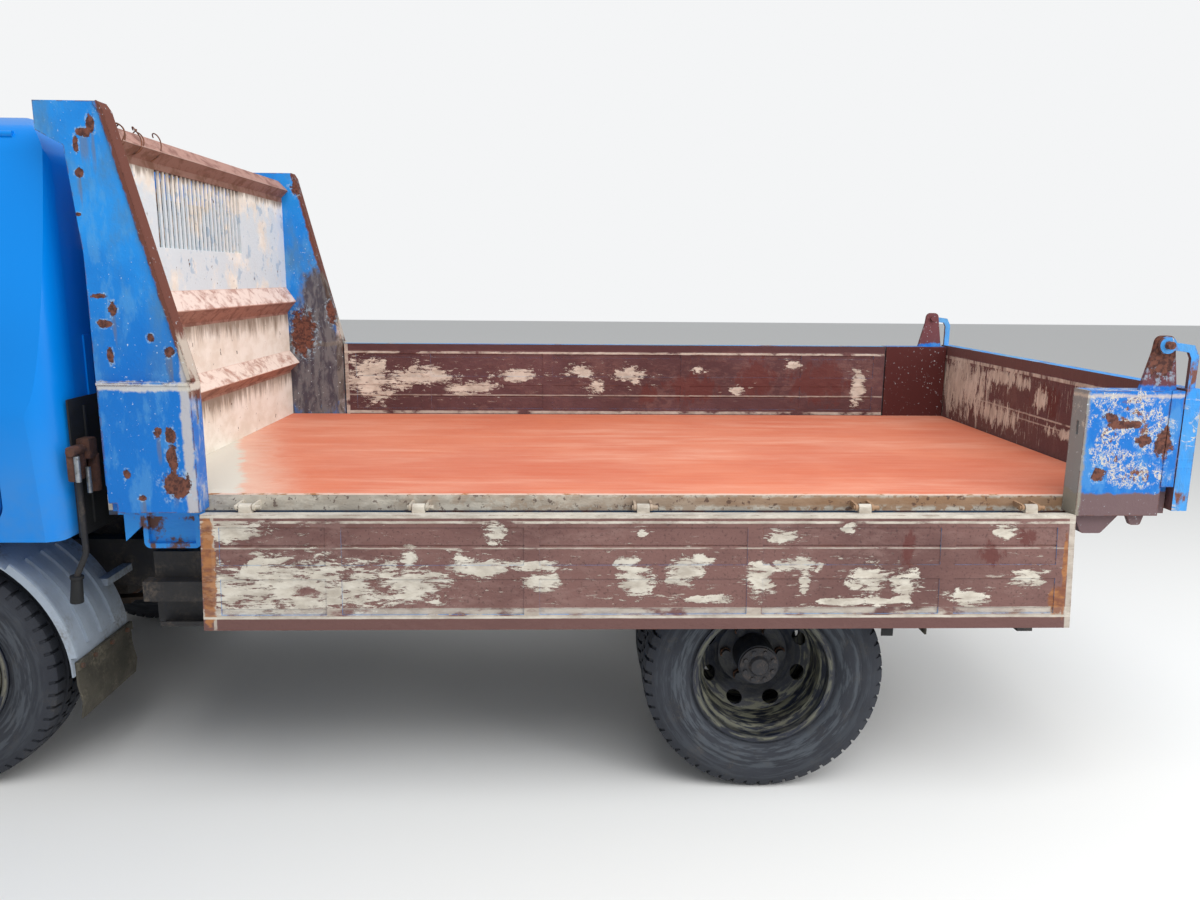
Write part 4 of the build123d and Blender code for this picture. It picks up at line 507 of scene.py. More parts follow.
def floorFinish():
    # Red oxide primer brushed over the floor sheet: matt, with pale dusty sweeps and old cream at the front
    material, tree = startFinish("redOxideFloor")
    brush = clouds(tree, 0.025, 0.3, 0.7, (1, 0.08, 1))
    fine = clouds(tree, 0.02, 0.35, 0.65, (1, 0.4, 1))
    torn = grain(tree, 0.06, (1, 0.6, 1), 9, 0.7, 0.8)
    top = layCoat(tree, ("floorPrimer", 0.62), ("floorDeep", 0.68),
                  clouds(tree, 0.7, 0.35, 0.65, detail=4, shift=(2, 0, 0)), 0.6)
    top = layCoat(tree, top, ("floorPale", 0.72), clouds(tree, 0.3, 0.38, 0.66, (1, 0.25, 1), 7, 0.5),
                  clouds(tree, 0.05, 0.3, 0.75, (1, 0.15, 1), 6), 0.65)
    top = layCoat(tree, top, ("floorPale", 0.7), brush, 0.18)
    corner = (0.35, -0.94, 0)
    top = layCoat(tree, top, ("#f3d6c1", 0.7), step(tree, along(tree, corner, torn, 0.2), 0.5, 0.75), 0.7)
    top = layCoat(tree, top, ("creamPale", 0.65), step(tree, along(tree, corner, torn, 0.12), 0.655, 0.69))
    bare = layCoat(tree, ("#e3c3b2", 0.65), ("rustOrange", 0.8), clouds(tree, 0.05, 0.52, 0.62, detail=7))
    lip = joined(tree, span(tree, 0, 0.786, 0.9, 0.003, torn, 0.02),
                 span(tree, 0, -0.9, -0.790, 0.003, torn, 0.01), how="MAXIMUM")
    top = layCoat(tree, top, bare, lip)

    side = layCoat(tree, ("#b3aa9c", 0.68), ("cream", 0.62), clouds(tree, 0.05, 0.42, 0.58, (1, 0.5, 1), 7))
    scale = joined(tree, clouds(tree, 0.03, 0.5, 0.56, (1, 0.8, 1), 8),
                   step(tree, along(tree, (0, 1, 0), torn, 0.5), -0.6, 2.4))
    drop = joined(tree, span(tree, 2, 0.912, 0.94, 0.006, torn, 0.03),
                  step(tree, along(tree, (0, 1, 0)), 0.2, 1.4))
    side = layCoat(tree, side, ("#96693f", 0.85), joined(tree, scale, drop, how="MAXIMUM"), 0.8)
    side = layCoat(tree, side, ("rustDark", 0.85),
                   clouds(tree, 0.02, 0.58, 0.63, detail=6, shift=(3, 0, 0)), 0.7)
    # below the side rail: the bed's blue darkened to slate as painted shade, with rust
    under = layCoat(tree, ("#2b3f56", 0.6), ("rustDark", 0.9), clouds(tree, 0.2, 0.46, 0.6, detail=7))
    coat = layCoat(tree, under, side, span(tree, 2, 0.884, 1.0, 0.002))
    brace = layCoat(tree, ("bedBlue", 0.45), ("#6a4a41", 0.85), clouds(tree, 0.08, 0.52, 0.6, detail=7))
    coat = layCoat(tree, coat, brace, span(tree, 1, -0.72, -0.47, 0.002), span(tree, 0, 0.5, 0.9, 0.01),
                   span(tree, 2, 0.7, 0.886, 0.002))
    coat = layCoat(tree, coat, top, facing(tree, (0, 0, 1)), span(tree, 2, 0.925, 0.94, 0.001))
    finishCoat(tree, coat, [(fine, 0.0006), (brush, 0.0003)])
    return material


headboardLook = {
    # painted shade with grime streaks under each rib: foot, reach
    "runs": ((1.388, 0.08), (1.124, 0.07), (1.876, 0.035)),
    # rust on the ribs' shoulders; the bands on the downward faces are darker, partly as painted shade: from,
    # to, two tones
    "bands": ((1.4405, 1.506, "#ead4c9", "#b78f82"), (1.1655, 1.223, "#eddacd", "#bc9687"),
              (1.9255, 2.0, "#b38a7e", "#8d645a"), (1.386, 1.4405, "#9a7162", "#7c5548"),
              (1.122, 1.1655, "#a07767", "#80594b"), (1.874, 1.9255, "#8b6759", "#74503f")),
}


def headboardFinish(look):
    # Enamel worn thin on the load side: cream and pale blue, rust on the ribs' shoulders with their downward
    # faces darkened partly as painted shade, and painted shade with grime streaks below each rib
    material, tree = startFinish("wornHeadboardEnamel")
    torn = grain(tree, 0.05, (0.7, 1, 1), 9, 0.7, 0.6)
    runs = grain(tree, 0.03, (1, 1, 0.12), 7, 0.7, 0.15)
    fine = clouds(tree, 0.012, 0.4, 0.62)
    coat = layCoat(tree, ("#f6f1e6", 0.6), ("#e6ddce", 0.65), clouds(tree, 0.1, 0.38, 0.62, (0.6, 1, 1), 7))
    coat = layCoat(tree, coat, ("creamBlue", 0.55), span(tree, 2, 1.56, 1.93, 0.03, torn, 0.2),
                   clouds(tree, 0.15, 0.36, 0.52, detail=6, shift=(0, 0, 4)), 0.9)
    coat = layCoat(tree, coat, ("#86a9c6", 0.6), span(tree, 2, 1.62, 2.0, 0.03, torn, 0.2),
                   clouds(tree, 0.07, 0.57, 0.62, detail=8, shift=(2, 0, 1)), 0.5)
    # painted shade under each rib, broken into grime streaks that run down
    shades = []
    for foot, reach in look["runs"]:
        height = along(tree, (0, 0, 1), runs, reach * 3.0)
        shades.append(step(tree, height, foot + reach * 0.5, foot + reach * 1.5,
                           step(tree, along(tree, (0, 0, 1)), foot + 0.003, foot)))
    coat = layCoat(tree, coat, ("#7b6a59", 0.75), joined(tree, *shades, how="MAXIMUM"), 0.85)
    coat = layCoat(tree, coat, ("#a08b76", 0.75), step(tree, runs, 0.6, 0.7),
                   clouds(tree, 0.3, 0.45, 0.6, shift=(5, 0, 5)), 0.4)
    coat = layCoat(tree, coat, ("#5d4337", 0.85),
                   clouds(tree, 0.02, 0.66, 0.69, (1, 1, 0.7), 7, shift=(3, 0, 3)))
    # the downward faces' bands are rust darkened partly as painted shade
    for low, high, paleHex, darkHex in look["bands"]:
        band = layCoat(tree, (paleHex, 0.75), (darkHex, 0.85), step(tree, torn, 0.44, 0.62))
        coat = layCoat(tree, coat, band, span(tree, 2, low, high, 0.0015, torn, 0.006))
    coat = layCoat(tree, coat, ("rust", 0.9), span(tree, 0, 0.765, 0.8, 0.01, torn, 0.06),
                   clouds(tree, 0.06, 0.46, 0.54, detail=8, shift=(1, 0, 2)), 0.8)
    back = layCoat(tree, ("bedBlue", 0.5), ("rust", 0.85), clouds(tree, 0.2, 0.58, 0.66, detail=7))
    coat = layCoat(tree, coat, back, facing(tree, (0, -1, 0), 0.3))
    finishCoat(tree, coat, [(torn, 0.0012), (fine, 0.0004)])
    return material


def cabFinish():
    # Stove enamel under lacquer: smooth and bright, a light film of road dust low down
    material, tree = startFinish("azureCabEnamel")
    coat = layCoat(tree, ("cabAzure", 0.3), ("#0080da", 0.34), clouds(tree, 1.2, 0.35, 0.7, detail=2))
    coat = layCoat(tree, coat, ("#6f8798", 0.6), span(tree, 2, 0.5, 1.0, 0.25),
                   clouds(tree, 0.25, 0.35, 0.75, detail=6), 0.35)
    finishCoat(tree, coat, [(clouds(tree, 0.006, 0.3, 0.7, detail=2), 0.00004)], **{
        "Specular IOR Level": 0.22, "Coat Weight": 0.15, "Coat Roughness": 0.12})
    return material


def wheelFinish(name, hexes, rough, streakHex, axleY, streaks):
    # turned round the axle: scuffs and mud run in rings; each streak: from, to radius, share
    material, tree = startFinish(name)
    centred = addNode(tree, "ShaderNodeMapping", inputs={
        "Vector": tree.nodes["place"].outputs["Object"], "Location": (0, -axleY, -axles["height"])})
    flat = addNode(tree, "ShaderNodeVectorMath", {"operation": "MULTIPLY"},
                   {0: centred.outputs[0], 1: (0, 1, 1)})
    radius = addNode(tree, "ShaderNodeVectorMath", {"operation": "LENGTH"},
                     {0: flat.outputs[0]}).outputs["Value"]
    sides = addNode(tree, "ShaderNodeSeparateXYZ", inputs={0: centred.outputs[0]})
    turn = joined(tree, sides.outputs[2], sides.outputs[1], how="ARCTAN2")
    even = addNode(tree, "ShaderNodeMath", {"operation": "ABSOLUTE"}, {0: turn}).outputs[0]
    ringed = addNode(tree, "ShaderNodeCombineXYZ",
                     inputs={0: sides.outputs[0], 1: radius, 2: joined(tree, even, 0.035)})
    rings = addNode(tree, "ShaderNodeTexNoise", inputs={
        "Vector": ringed.outputs[0], "Scale": 90, "Detail": 6, "Roughness": 0.6}).outputs[0]
    fine = clouds(tree, 0.006, 0.35, 0.65, detail=4)
    coat = layCoat(tree, (hexes[0], rough), (hexes[1], rough + 0.1), clouds(tree, 0.12, 0.35, 0.65, detail=6))
    for low, high, share in streaks:
        coat = layCoat(tree, coat, (streakHex, 0.8), step(tree, radius, low - 0.006, low + 0.006),
                       step(tree, radius, high + 0.006, high - 0.006), step(tree, rings, 0.44, 0.58), share)
    coat = layCoat(tree, coat, (hexes[2], 0.85),
                   clouds(tree, 0.09, 0.5, 0.72, detail=7, shift=(7, 3, 1)), fine, 0.6)
    finishCoat(tree, coat, [(rings, 0.0006), (fine, 0.0002)])
    return material


def plainFinish(name, hexes, rough, size=0.1, dust=None, bump=0.0002, fineSize=0.01, **shader):
    # two tones in soft blotches, with dust where it is asked for
    material, tree = startFinish(name)
    fine = clouds(tree, fineSize, 0.35, 0.65, detail=4)
    coat = layCoat(tree, (hexes[0], rough), (hexes[1], min(1.0, rough + 0.12)),
                   clouds(tree, size, 0.35, 0.65))
    if dust:
        coat = layCoat(tree, coat, (dust, 0.85),
                       clouds(tree, size * 0.7, 0.45, 0.7, detail=7, shift=(7, 3, 1)), fine)
    finishCoat(tree, coat, [(fine, bump)], **shader)
    return material


def glassFinish(name, hexes, alpha):
    # dusty pane: the film of dust shows as faint clouds
    material, tree = startFinish(name)
    coat = layCoat(tree, (hexes[0], 0.12), (hexes[1], 0.2), clouds(tree, 0.3, 0.35, 0.7, detail=6))
    finishCoat(tree, coat, [], **{"Alpha": alpha, "IOR": 1.52, "Specular IOR Level": 0.3})
    return material


def wovenFinish(name, hexes, thread):
    # Woven polyester cover: matt, a fine grid of threads, a soft worn bloom; drawn at twice the real thread
    material, tree = startFinish(name)
    weave = joined(tree, *[addNode(tree, "ShaderNodeTexWave", {"bands_direction": way}, {
        "Vector": tree.nodes["place"].outputs["Object"], "Scale": 0.314 / thread,
        "Distortion": 0.4}).outputs["Fac"] for way in ("X", "DIAGONAL")])
    coat = layCoat(tree, (hexes[0], 0.95), (hexes[1], 0.9), weave)
    coat = layCoat(tree, coat, (hexes[2], 0.85), clouds(tree, 0.25, 0.4, 0.68, detail=6), 0.5)
    finishCoat(tree, coat, [(weave, 0.0006)], **{"Sheen Weight": 0.3})
    return material


finishes = {
    "gateLeft": flakedGate("scrapedGateLowered", gateLeftLook),
    "gateRight": flakedGate("scrapedGateClosed", gateRightLook),
    "tailgate": flakedGate("scrapedTailgate", tailLook),
    "floor": floorFinish(),
    "headboard": headboardFinish(headboardLook),
    "guards": bluePanelFinish("blueGuardEnamel", guardLook),
    "posts": bluePanelFinish("bluePostEnamel", postLook),
    "cab": cabFinish(),
    # chassis enamel, brushed on and grimy: near black with brown dust
    "chassis": plainFinish("chassisEnamel", ("#1b1b1f", "#2c2a2a"), 0.6, 0.15, "#5b5148", 0.0004),
    # sand-cast iron, rough and oily
    "cast": plainFinish("castIron", ("#2e2b29", "#423c37"), 0.7, 0.08, "#6e5f50", 0.0009, 0.006),
    # bare steel with light rust
    "steel": plainFinish("bareSteel", ("#5d5853", "#6e4f3c"), 0.5, 0.05, "#7c4a2e", 0.0003, Metallic=0.6),
    "spring": plainFinish("springSteel", ("#3a3532", "#55402f"), 0.6, 0.05, "#6f5a48", 0.0004, Metallic=0.4),
    "chromedRod": plainFinish("chromedRod", ("#c9ccd0", "#b4b8be"), 0.16, 0.1, None, 0.00003, Metallic=1.0),
    # wheel enamel, navy darkened almost to black partly as painted shade, chalked by brake dust and mud
    "wheel": wheelFinish("wheelEnamelRear", ("#10141f", "#192031", "#5c5852"), 0.42, "#85846f",
                         axles["rear"], ((0.150, 0.199, 0.6), (0.060, 0.140, 0.1), (0.204, 0.212, 0.7))),
    "wheelFront": wheelFinish("wheelEnamelFront", ("#10141f", "#1b2233", "#5c5852"), 0.42, "#8a8674",
                              axles["front"],
                              ((0.150, 0.199, 0.6), (0.060, 0.140, 0.12), (0.204, 0.212, 0.8))),
    "hub": plainFinish("hubCastIron", ("#2d2e33", "#3a393b"), 0.65, 0.03, "#5f5650", 0.0006, 0.005),
    # vulcanised rubber, matt: blue-grey bloom round the sidewall, mud dust by the rim, dark shoulders
    "tyre": wheelFinish("tyreRubberRear", ("#282b33", "#31343b", "#4a4540"), 0.8, "#585f66",
                        axles["rear"], ((0.232, 0.300, 0.5), (0.205, 0.226, 0.4), (0.305, 0.335, 0.2))),
    "tyreFront": wheelFinish("tyreRubberFront", ("#282b33", "#31343b", "#4a4540"), 0.8, "#565c63",
                             axles["front"],
                             ((0.232, 0.300, 0.5), (0.205, 0.226, 0.4), (0.305, 0.335, 0.2))),
    # moulded polypropylene, silver grey, chalky and splashed
    "splash": plainFinish("mouldedPolypropylene", ("#a3aebb", "#939eab"), 0.5, 0.3, "#77746c", 0.0003),
    "flap": plainFinish("flapRubber", ("#4a463c", "#3a372f"), 0.75, 0.1, "#6d6758", 0.0005),
    "blackPlastic": plainFinish("blackAbs", ("#17181b", "#1f2023"), 0.5, 0.1, None, 0.0002, 0.002),
    "dash": plainFinish("dashboardAbs", ("#2c2e33", "#34363c"), 0.6, 0.1, None, 0.0003, 0.002),
    "bumper": plainFinish("bumperEnamel", ("#a9adb1", "#999da1"), 0.4, 0.2, "#75706a", 0.0002),
    "seat": wovenFinish("wovenPolyester", ("#24262c", "#3b3e47", "#4b4a4d"), 0.004),
    "rubber": plainFinish("sealRubber", ("#101113", "#191a1c"), 0.65, 0.05, None, 0.0002, 0.003),
    "glass": glassFinish("floatGlass", ("#4c585c", "#6a7274"), 0.32),
    # vacuum-coated glass, sharp reflections
    "mirrorSilver": plainFinish("silveredGlass", ("#d5d8da", "#cdd0d2"), 0.04, 0.2, None, 0.0, Metallic=1.0),
    "chrome": plainFinish("chromePlate", ("#c8cacc", "#bfc2c4"), 0.12, 0.05, None, 0.00002, Metallic=1.0),
    # moulded acrylic lenses, glossy and slightly ribbed
    "clearLens": plainFinish("clearAcrylic", ("#dfe3e4", "#d2d7d8"), 0.08, 0.05, None, 0.0001, 0.004,
                             IOR=1.49, Alpha=0.45),
    "amberLens": plainFinish("amberAcrylic", ("#d9741a", "#c9650f"), 0.12, 0.03, None, 0.0002, 0.004,
                             IOR=1.49),
    "redLens": plainFinish("redAcrylic", ("#a3141a", "#8c0f15"), 0.12, 0.03, None, 0.0002, 0.004, IOR=1.49),
    "plate": plainFinish("blankPlate", ("#dfe0db", "#d3d4ce"), 0.45, 0.1, "#8f8b84", 0.0001),
    # sheet strips between the window's bars, cream paint over rust
    "strips": plainFinish("rippledStrip", ("#c9b9a2", "#8a6a54"), 0.75, 0.03, "#6b4433", 0.0003),
    # flame-cut brackets left unpainted: dry brown rust
    "rustyIron": plainFinish("rustedBracketIron", ("#4a332b", "#5e3f33"), 0.85, 0.03, "#7a5140", 0.0006,
                             0.005),
    "zincPlate": plainFinish("zincPlatedSteel", ("#a9adb0", "#8f9497"), 0.35, 0.02, "#6f6a63", 0.0002,
                             Metallic=0.8),
    "wire": plainFinish("annealedWire", ("#5b3b2d", "#7a4b33"), 0.7, 0.02, None, 0.0002),
}

nodeFinishes = {
    "cast": "engine_block front_axle rear_axle knuckle_left knuckle_right",
    "chassis": "frame sub_frame fuel_tank battery_box rear_bumper hoist_barrel",
    "spring": "leaf_springs",
    "steel": "exhaust tie_rod",
    "chromedRod": "hoist_rod",
    "wheel": "rims_rear_left rims_rear_right",
    "wheelFront": "rim_front_left rim_front_right",
    "tyre": "tyres_rear_left tyres_rear_right",
    "tyreFront": "tyre_front_left tyre_front_right",
    "splash": "front_wings",
    "flap": "mud_flaps",
    "bumper": "front_bumper",
    "blackPlastic": "lamps grille mirrors steering_wheel",
    "floor": "bed_floor",
    "headboard": "headboard",
    "guards": "front_guards",
    "posts": "rear_posts",
    "gateLeft": "gate_left",
    "gateRight": "gate_right",
    "tailgate": "tailgate",
    "cab": "cab_shell door_left door_right",
    "glass": "cab_windows door_glass_left door_glass_right",
    "seat": "seats",
    "dash": "dashboard",
}
for finish, names in nodeFinishes.items():
    for nodeName in names.split():
        slots = nodes[nodeName].data.materials
        if not slots:
            slots.append(None)
        for i in range(len(slots)):
            slots[i] = finishes[finish]
print("finishes given to", sum(len(names.split()) for names in nodeFinishes.values()), "nodes")

# Small makers for the pieces
def ownPiece(name, mesh, body, finish, sharp=35):
    mesh.shade_smooth()
    mesh.set_sharp_from_angle(angle=math.radians(sharp))
    mesh.materials.clear()
    mesh.materials.append(finishes[finish])
    piece = bpy.data.objects.new(name, mesh)
    bpy.context.scene.collection.objects.link(piece)
    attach(piece, body)
    return piece


def makePiece(name, bm, body, finish, sharp=35):
    bmesh.ops.remove_doubles(bm, verts=bm.verts, dist=1e-5)
    bmesh.ops.recalc_face_normals(bm, faces=bm.faces)
    mesh = bpy.data.meshes.new(name)
    bm.to_mesh(mesh)
    bm.free()
    return ownPiece(name, mesh, body, finish, sharp)


def addBox(bm, low, high, bevel=0.0):
    size = [abs(b - a) for a, b in zip(low, high)]
    middle = [(a + b) / 2 for a, b in zip(low, high)]
    made = bmesh.ops.create_cube(bm, size=1.0)["verts"]
    bmesh.ops.scale(bm, vec=size, verts=made)
    bmesh.ops.translate(bm, vec=middle, verts=made)
    if bevel:
        edgesOf = list({e for v in made for e in v.link_edges})
        bmesh.ops.bevel(bm, geom=edgesOf, offset=bevel, segments=2, profile=0.5,
                        affect="EDGES", material=-1)


def addRod(bm, start, end, radius, sides=16, bevel=0.0, tip=None):
    start, end = Vector(start), Vector(end)
    run = end - start
    turn = run.to_track_quat("Z", "Y").to_matrix().to_4x4()
    made = bmesh.ops.create_cone(
        bm, cap_ends=True, segments=sides, radius1=radius, radius2=radius if tip is None else tip,
        depth=run.length, matrix=Matrix.Translation((start + end) / 2) @ turn)["verts"]
    if bevel:
        rims = list({e for v in made for e in v.link_edges if len(e.link_faces) == 2
                     and e.calc_face_angle(0) > 1.0})
        bmesh.ops.bevel(bm, geom=rims, offset=bevel, segments=2, profile=0.5,
                        affect="EDGES", material=-1)


def builtPiece(name, body, finish, boxes=(), rods=()):
    # boxes: two corners and a bevel; rods: two ends, radius, sides, then bevel and tip radius if wanted
    bm = bmesh.new()
    for row in boxes:
        addBox(bm, *row)
    for row in rods:
        addRod(bm, *row)
    return makePiece(name, bm, body, finish)


def pipeRun(name, points, radius, body, finish, closed=False, sides=3):
    curve = bpy.data.curves.new(name, "CURVE")
    curve.dimensions = "3D"
    curve.bevel_depth = radius
    curve.bevel_resolution = sides
    curve.use_fill_caps = not closed
    line = curve.splines.new("POLY")
    line.points.add(len(points) - 1)
    for spot, point in zip(line.points, points):
        spot.co = (*point, 1)
    line.use_cyclic_u = closed
    holder = bpy.data.objects.new(name + "Line", curve)
    mesh = bpy.data.meshes.new_from_object(holder)
    bpy.data.objects.remove(holder)
    bpy.data.curves.remove(curve)
    mesh.name = name
    return ownPiece(name, mesh, body, finish, 60)


def roundedLine(points, radii, steps=5, closed=True):
    # corner points with radii, each corner turned in even steps
    line = []
    count = len(points)
    for i, (point, radius) in enumerate(zip(points, radii)):
        here = Vector(point)
        if not radius or (not closed and i in (0, count - 1)):
            line.append(here)
            continue
        before = (Vector(points[i - 1]) - here).normalized()
        after = (Vector(points[(i + 1) % count]) - here).normalized()
        half = before.angle(after) / 2
        reach = radius / math.tan(half)
        first, last = here + before * reach, here + after * reach
        middle = here + (before + after).normalized() * (radius / math.sin(half))
        for k in range(steps + 1):
            arm = (first - middle).normalized().slerp((last - middle).normalized(), k / steps)
            line.append(middle + arm * radius)
    return line


def surfaceAt(nodeNames, origin, direction):
    # nearest place on these CAD nodes along a ray
    best = None
    for nodeName in nodeNames:
        hit, place, _, _ = nodes[nodeName].ray_cast(Vector(origin), Vector(direction).normalized())
        if hit and (best is None or (place - Vector(origin)).length < (best - Vector(origin)).length):
            best = place
    return best


def skinLoop(nodeNames, corners, radii, ray, start, spacing=None, lift=0.0):
    # a rounded outline laid on the skin, cast along a ray from a plane outside it
    loop = roundedLine(corners, radii, 6)
    line = []
    for i, here in enumerate(loop):
        after = loop[(i + 1) % len(loop)]
        cuts = max(1, int((after - here).length / spacing)) if spacing else 1
        for k in range(cuts):
            spot = here.lerp(after, k / cuts)
            hit = surfaceAt(nodeNames, [start if ray[a] else spot[a] for a in range(3)], ray)
            if hit:
                line.append(hit - Vector(ray) * lift)
    return line


# Tyres: the CAD outline turned with its tread cut into blocks
tyreSizes = {
    "radius": 0.368, "half": 0.098, "bead": 0.2075, "flange": 0.221, "steps": 216, "every": 4,
    "lugDepth": 0.0085, "lugFrom": 0.343, "lugInner": 0.043, "lugOuter": 0.095,
    "sipeDepth": 0.004, "sipeFrom": 0.3675, "sipeHalf": 0.025,
}
wheelRows = [
    # end and side, node, body, axle, tyre places across the truck
    ("FrontLeft", "tyre_front_left", "front_wheel_left", "front", (0.695,)),
    ("FrontRight", "tyre_front_right", "front_wheel_right", "front", (-0.695,)),
    ("RearLeft", "tyres_rear_left", "rear_wheels_left", "rear", (0.507, 0.733)),
    ("RearRight", "tyres_rear_right", "rear_wheels_right", "rear", (-0.507, -0.733)),
]


def treadOutline(t):
    # distance along the axle and radius, from the middle groove over the shoulder to the bead
    r, w, flange = t["radius"], t["half"], t["flange"]
    right = [
        (0.004, r - 0.009), (0.004, r), (0.026, r), (0.030, r - 0.009), (0.038, r - 0.009),
        (0.042, r - 0.001), (w - 0.020, r - 0.005), (w - 0.007, r - 0.024), (w - 0.0015, r - 0.045),
        (w - 0.001, 0.302), (w - 0.003, 0.297), (w, 0.278), (w - 0.002, 0.262), (0.0915, 0.248),
        (0.083, flange + 0.014), (0.071, flange + 0.003), (0.071, t["bead"]),
    ]
    return right + [(-u, v) for u, v in reversed(right)]


def turnTyre(bm, centre, t):
    rim = [bm.verts.new(centre + Vector((u, 0, v))) for u, v in treadOutline(t)]
    loop = [bm.edges.new((rim[i], rim[(i + 1) % len(rim)])) for i in range(len(rim))]
    bmesh.ops.spin(bm, geom=rim + loop, cent=centre, axis=(1, 0, 0), angle=2 * math.pi,
                   steps=t["steps"], use_merge=True)
    bmesh.ops.remove_doubles(bm, verts=bm.verts, dist=1e-5)
    bmesh.ops.recalc_face_normals(bm, faces=bm.faces)


def cutTread(bm, centre, faces, depth):
    made = bmesh.ops.extrude_face_region(bm, geom=faces)["geom"]
    for v in (v for v in made if isinstance(v, bmesh.types.BMVert)):
        arm = Vector((0, v.co.y - centre.y, v.co.z - centre.z))
        v.co -= arm.normalized() * depth
    bmesh.ops.delete(bm, geom=[f for f in faces if f.is_valid], context="FACES_ONLY")


t = tyreSizes
for label, nodeName, body, axle, offsets in wheelRows:
    bm = bmesh.new()
    for offset in offsets:
        centre = Vector((offset, axles[axle], t["radius"]))
        old = set(bm.faces)
        turnTyre(bm, centre, t)
        lugs, sipes = [], []
        for f in bm.faces:
            if f in old:
                continue
            m = f.calc_center_median() - centre
            away = math.hypot(m.y, m.z)
            turnStep = int(math.atan2(m.z, m.y) / (2 * math.pi) * t["steps"]) % t["steps"]
            turnStep += 2 if m.x > 0 else 0
            if (away > t["lugFrom"] and t["lugInner"] < abs(m.x) < t["lugOuter"]
                    and turnStep % t["every"] == 0):
                lugs.append(f)
            elif away > t["sipeFrom"] and abs(m.x) < t["sipeHalf"] and (turnStep + 1) % t["every"] == 0:
                sipes.append(f)
        cutTread(bm, centre, lugs, t["lugDepth"])
        cutTread(bm, centre, sipes, t["sipeDepth"])
    finish = "tyre" if axle == "rear" else "tyreFront"
    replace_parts(makePiece("tread" + label, bm, body, finish, 28), nodeName)
print("tyres cut")

# Wheel nuts on their seats, and hub caps with small bolts
nutSizes = {"face": {"front": 0.802, "rear": 0.6205}, "ring": 0.088, "count": 6,
            "radius": 0.0185, "tall": 0.015, "seatRadius": 0.0215, "seatTall": 0.004}
hubSizes = {"face": {"front": 0.832, "rear": 0.730}, "radius": 0.06, "tall": 0.010,
            "bossRadius": 0.034, "bossTip": 0.026, "bossTall": 0.020,
            "boltRing": 0.047, "boltRadius": 0.0075, "boltTall": 0.016, "bolts": 8}


def ringPlaces(count, radius, axle, shift=0.0):
    # y and z of places evenly round an axle
    turns = [2 * math.pi * (i + shift) / count for i in range(count)]
    return [(axles[axle] + radius * math.cos(turn), axles["height"] + radius * math.sin(turn))
            for turn in turns]


for label, _, body, axle, offsets in wheelRows:
    out = math.copysign(1, offsets[0])
    n, face = nutSizes, nutSizes["face"][axle]
    rods = []
    for y, z in ringPlaces(n["count"], n["ring"], axle):
        rods += [((out * (face - 0.001), y, z), (out * (face + n["seatTall"]), y, z), n["seatRadius"], 20),
                 ((out * (face + 0.003), y, z), (out * (face + 0.003 + n["tall"]), y, z),
                  n["radius"], 6, 0.0012)]
    builtPiece("nuts" + label, body, "steel", rods=rods)
    h, face = hubSizes, hubSizes["face"][axle]
    y, z = axles[axle], axles["height"]
    rods = [((out * face, y, z), (out * (face + h["tall"]), y, z), h["radius"], 40, 0.002),
            ((out * (face + 0.009), y, z), (out * (face + h["bossTall"]), y, z),
             h["bossRadius"], 32, 0.003, h["bossTip"])]
    for y, z in ringPlaces(h["bolts"], h["boltRing"], axle, 0.5):
        rods.append(((out * (face + 0.008), y, z), (out * (face + h["boltTall"]), y, z), h["boltRadius"], 6))
    builtPiece("hub" + label, body, "hub", rods=rods)
print("wheels dressed")

# Cab: window seals, wipers, handles, gutters, mirror glass, plates
sides = ((1, "Left"), (-1, "Right"))
cabSkin = ["cab_shell", "cab_windows"]
sealSizes = {"radius": 0.0085, "doorRadius": 0.007, "gutterRadius": 0.009}
windowOutlines = {
    # corners as seen from outside, and their radii
    "screen": ([(-0.757, 0, 1.247), (-0.697, 0, 1.908), (0.697, 0, 1.908), (0.757, 0, 1.247)], [0.064] * 4),
    "rear": ([(-0.563, 0, 1.437), (-0.563, 0, 1.803), (0.563, 0, 1.803), (0.563, 0, 1.437)], [0.052] * 4),
    "door": ([(0, -2.091, 1.232), (0, -1.963, 1.833), (0, -1.079, 1.838), (0, -1.079, 1.202)],
             [0.032, 0.052, 0.052, 0.052]),
}
pipeRun("screenSeal", skinLoop(cabSkin, *windowOutlines["screen"], (0, 1, 0), -3.0, 0.06, 0.001),
        sealSizes["radius"], "cab", "rubber", closed=True)
pipeRun("rearWindowSeal", skinLoop(cabSkin, *windowOutlines["rear"], (0, -1, 0), 0.5),
        sealSizes["radius"], "cab", "rubber", closed=True)
for side, label in sides:
    body, doorNode, glassNode = (word + label.lower() for word in ("", "door_", "door_glass_"))
    body += "_door"
    inward, start = (-side, 0, 0), side * 1.5
    seal = skinLoop([doorNode, glassNode], *windowOutlines["door"], inward, start, 0.08)
    pipeRun("doorSeal" + label, seal, sealSizes["doorRadius"], body, "rubber", closed=True)
    x = surfaceAt([doorNode], (start, -1.13, 1.115), inward).x
    builtPiece("doorHandle" + label, body, "blackPlastic", [
        ((x - side * 0.004, -1.20, 1.092), (x + side * 0.006, -1.06, 1.140), 0.004),
        ((x + side * 0.004, -1.185, 1.122), (x + side * 0.022, -1.075, 1.134), 0.003),
    ], [((x, -1.09, 1.07), (x + side * 0.006, -1.09, 1.07), 0.011, 20, 0.001)])
    gutter = [surfaceAt(["cab_shell"], (start, -1.93 + k * 0.072, 1.925), inward) for k in range(15)]
    pipeRun("roofGutter" + label, [hit + Vector((side * 0.002, 0, 0)) for hit in gutter if hit],
            sealSizes["gutterRadius"], "cab", "cab")
    builtPiece("mirrorGlass" + label, "cab", "mirrorSilver", [
        ((side * 0.842, -2.2335, 1.302), (side * 0.988, -2.2305, 1.628), 0.001)])

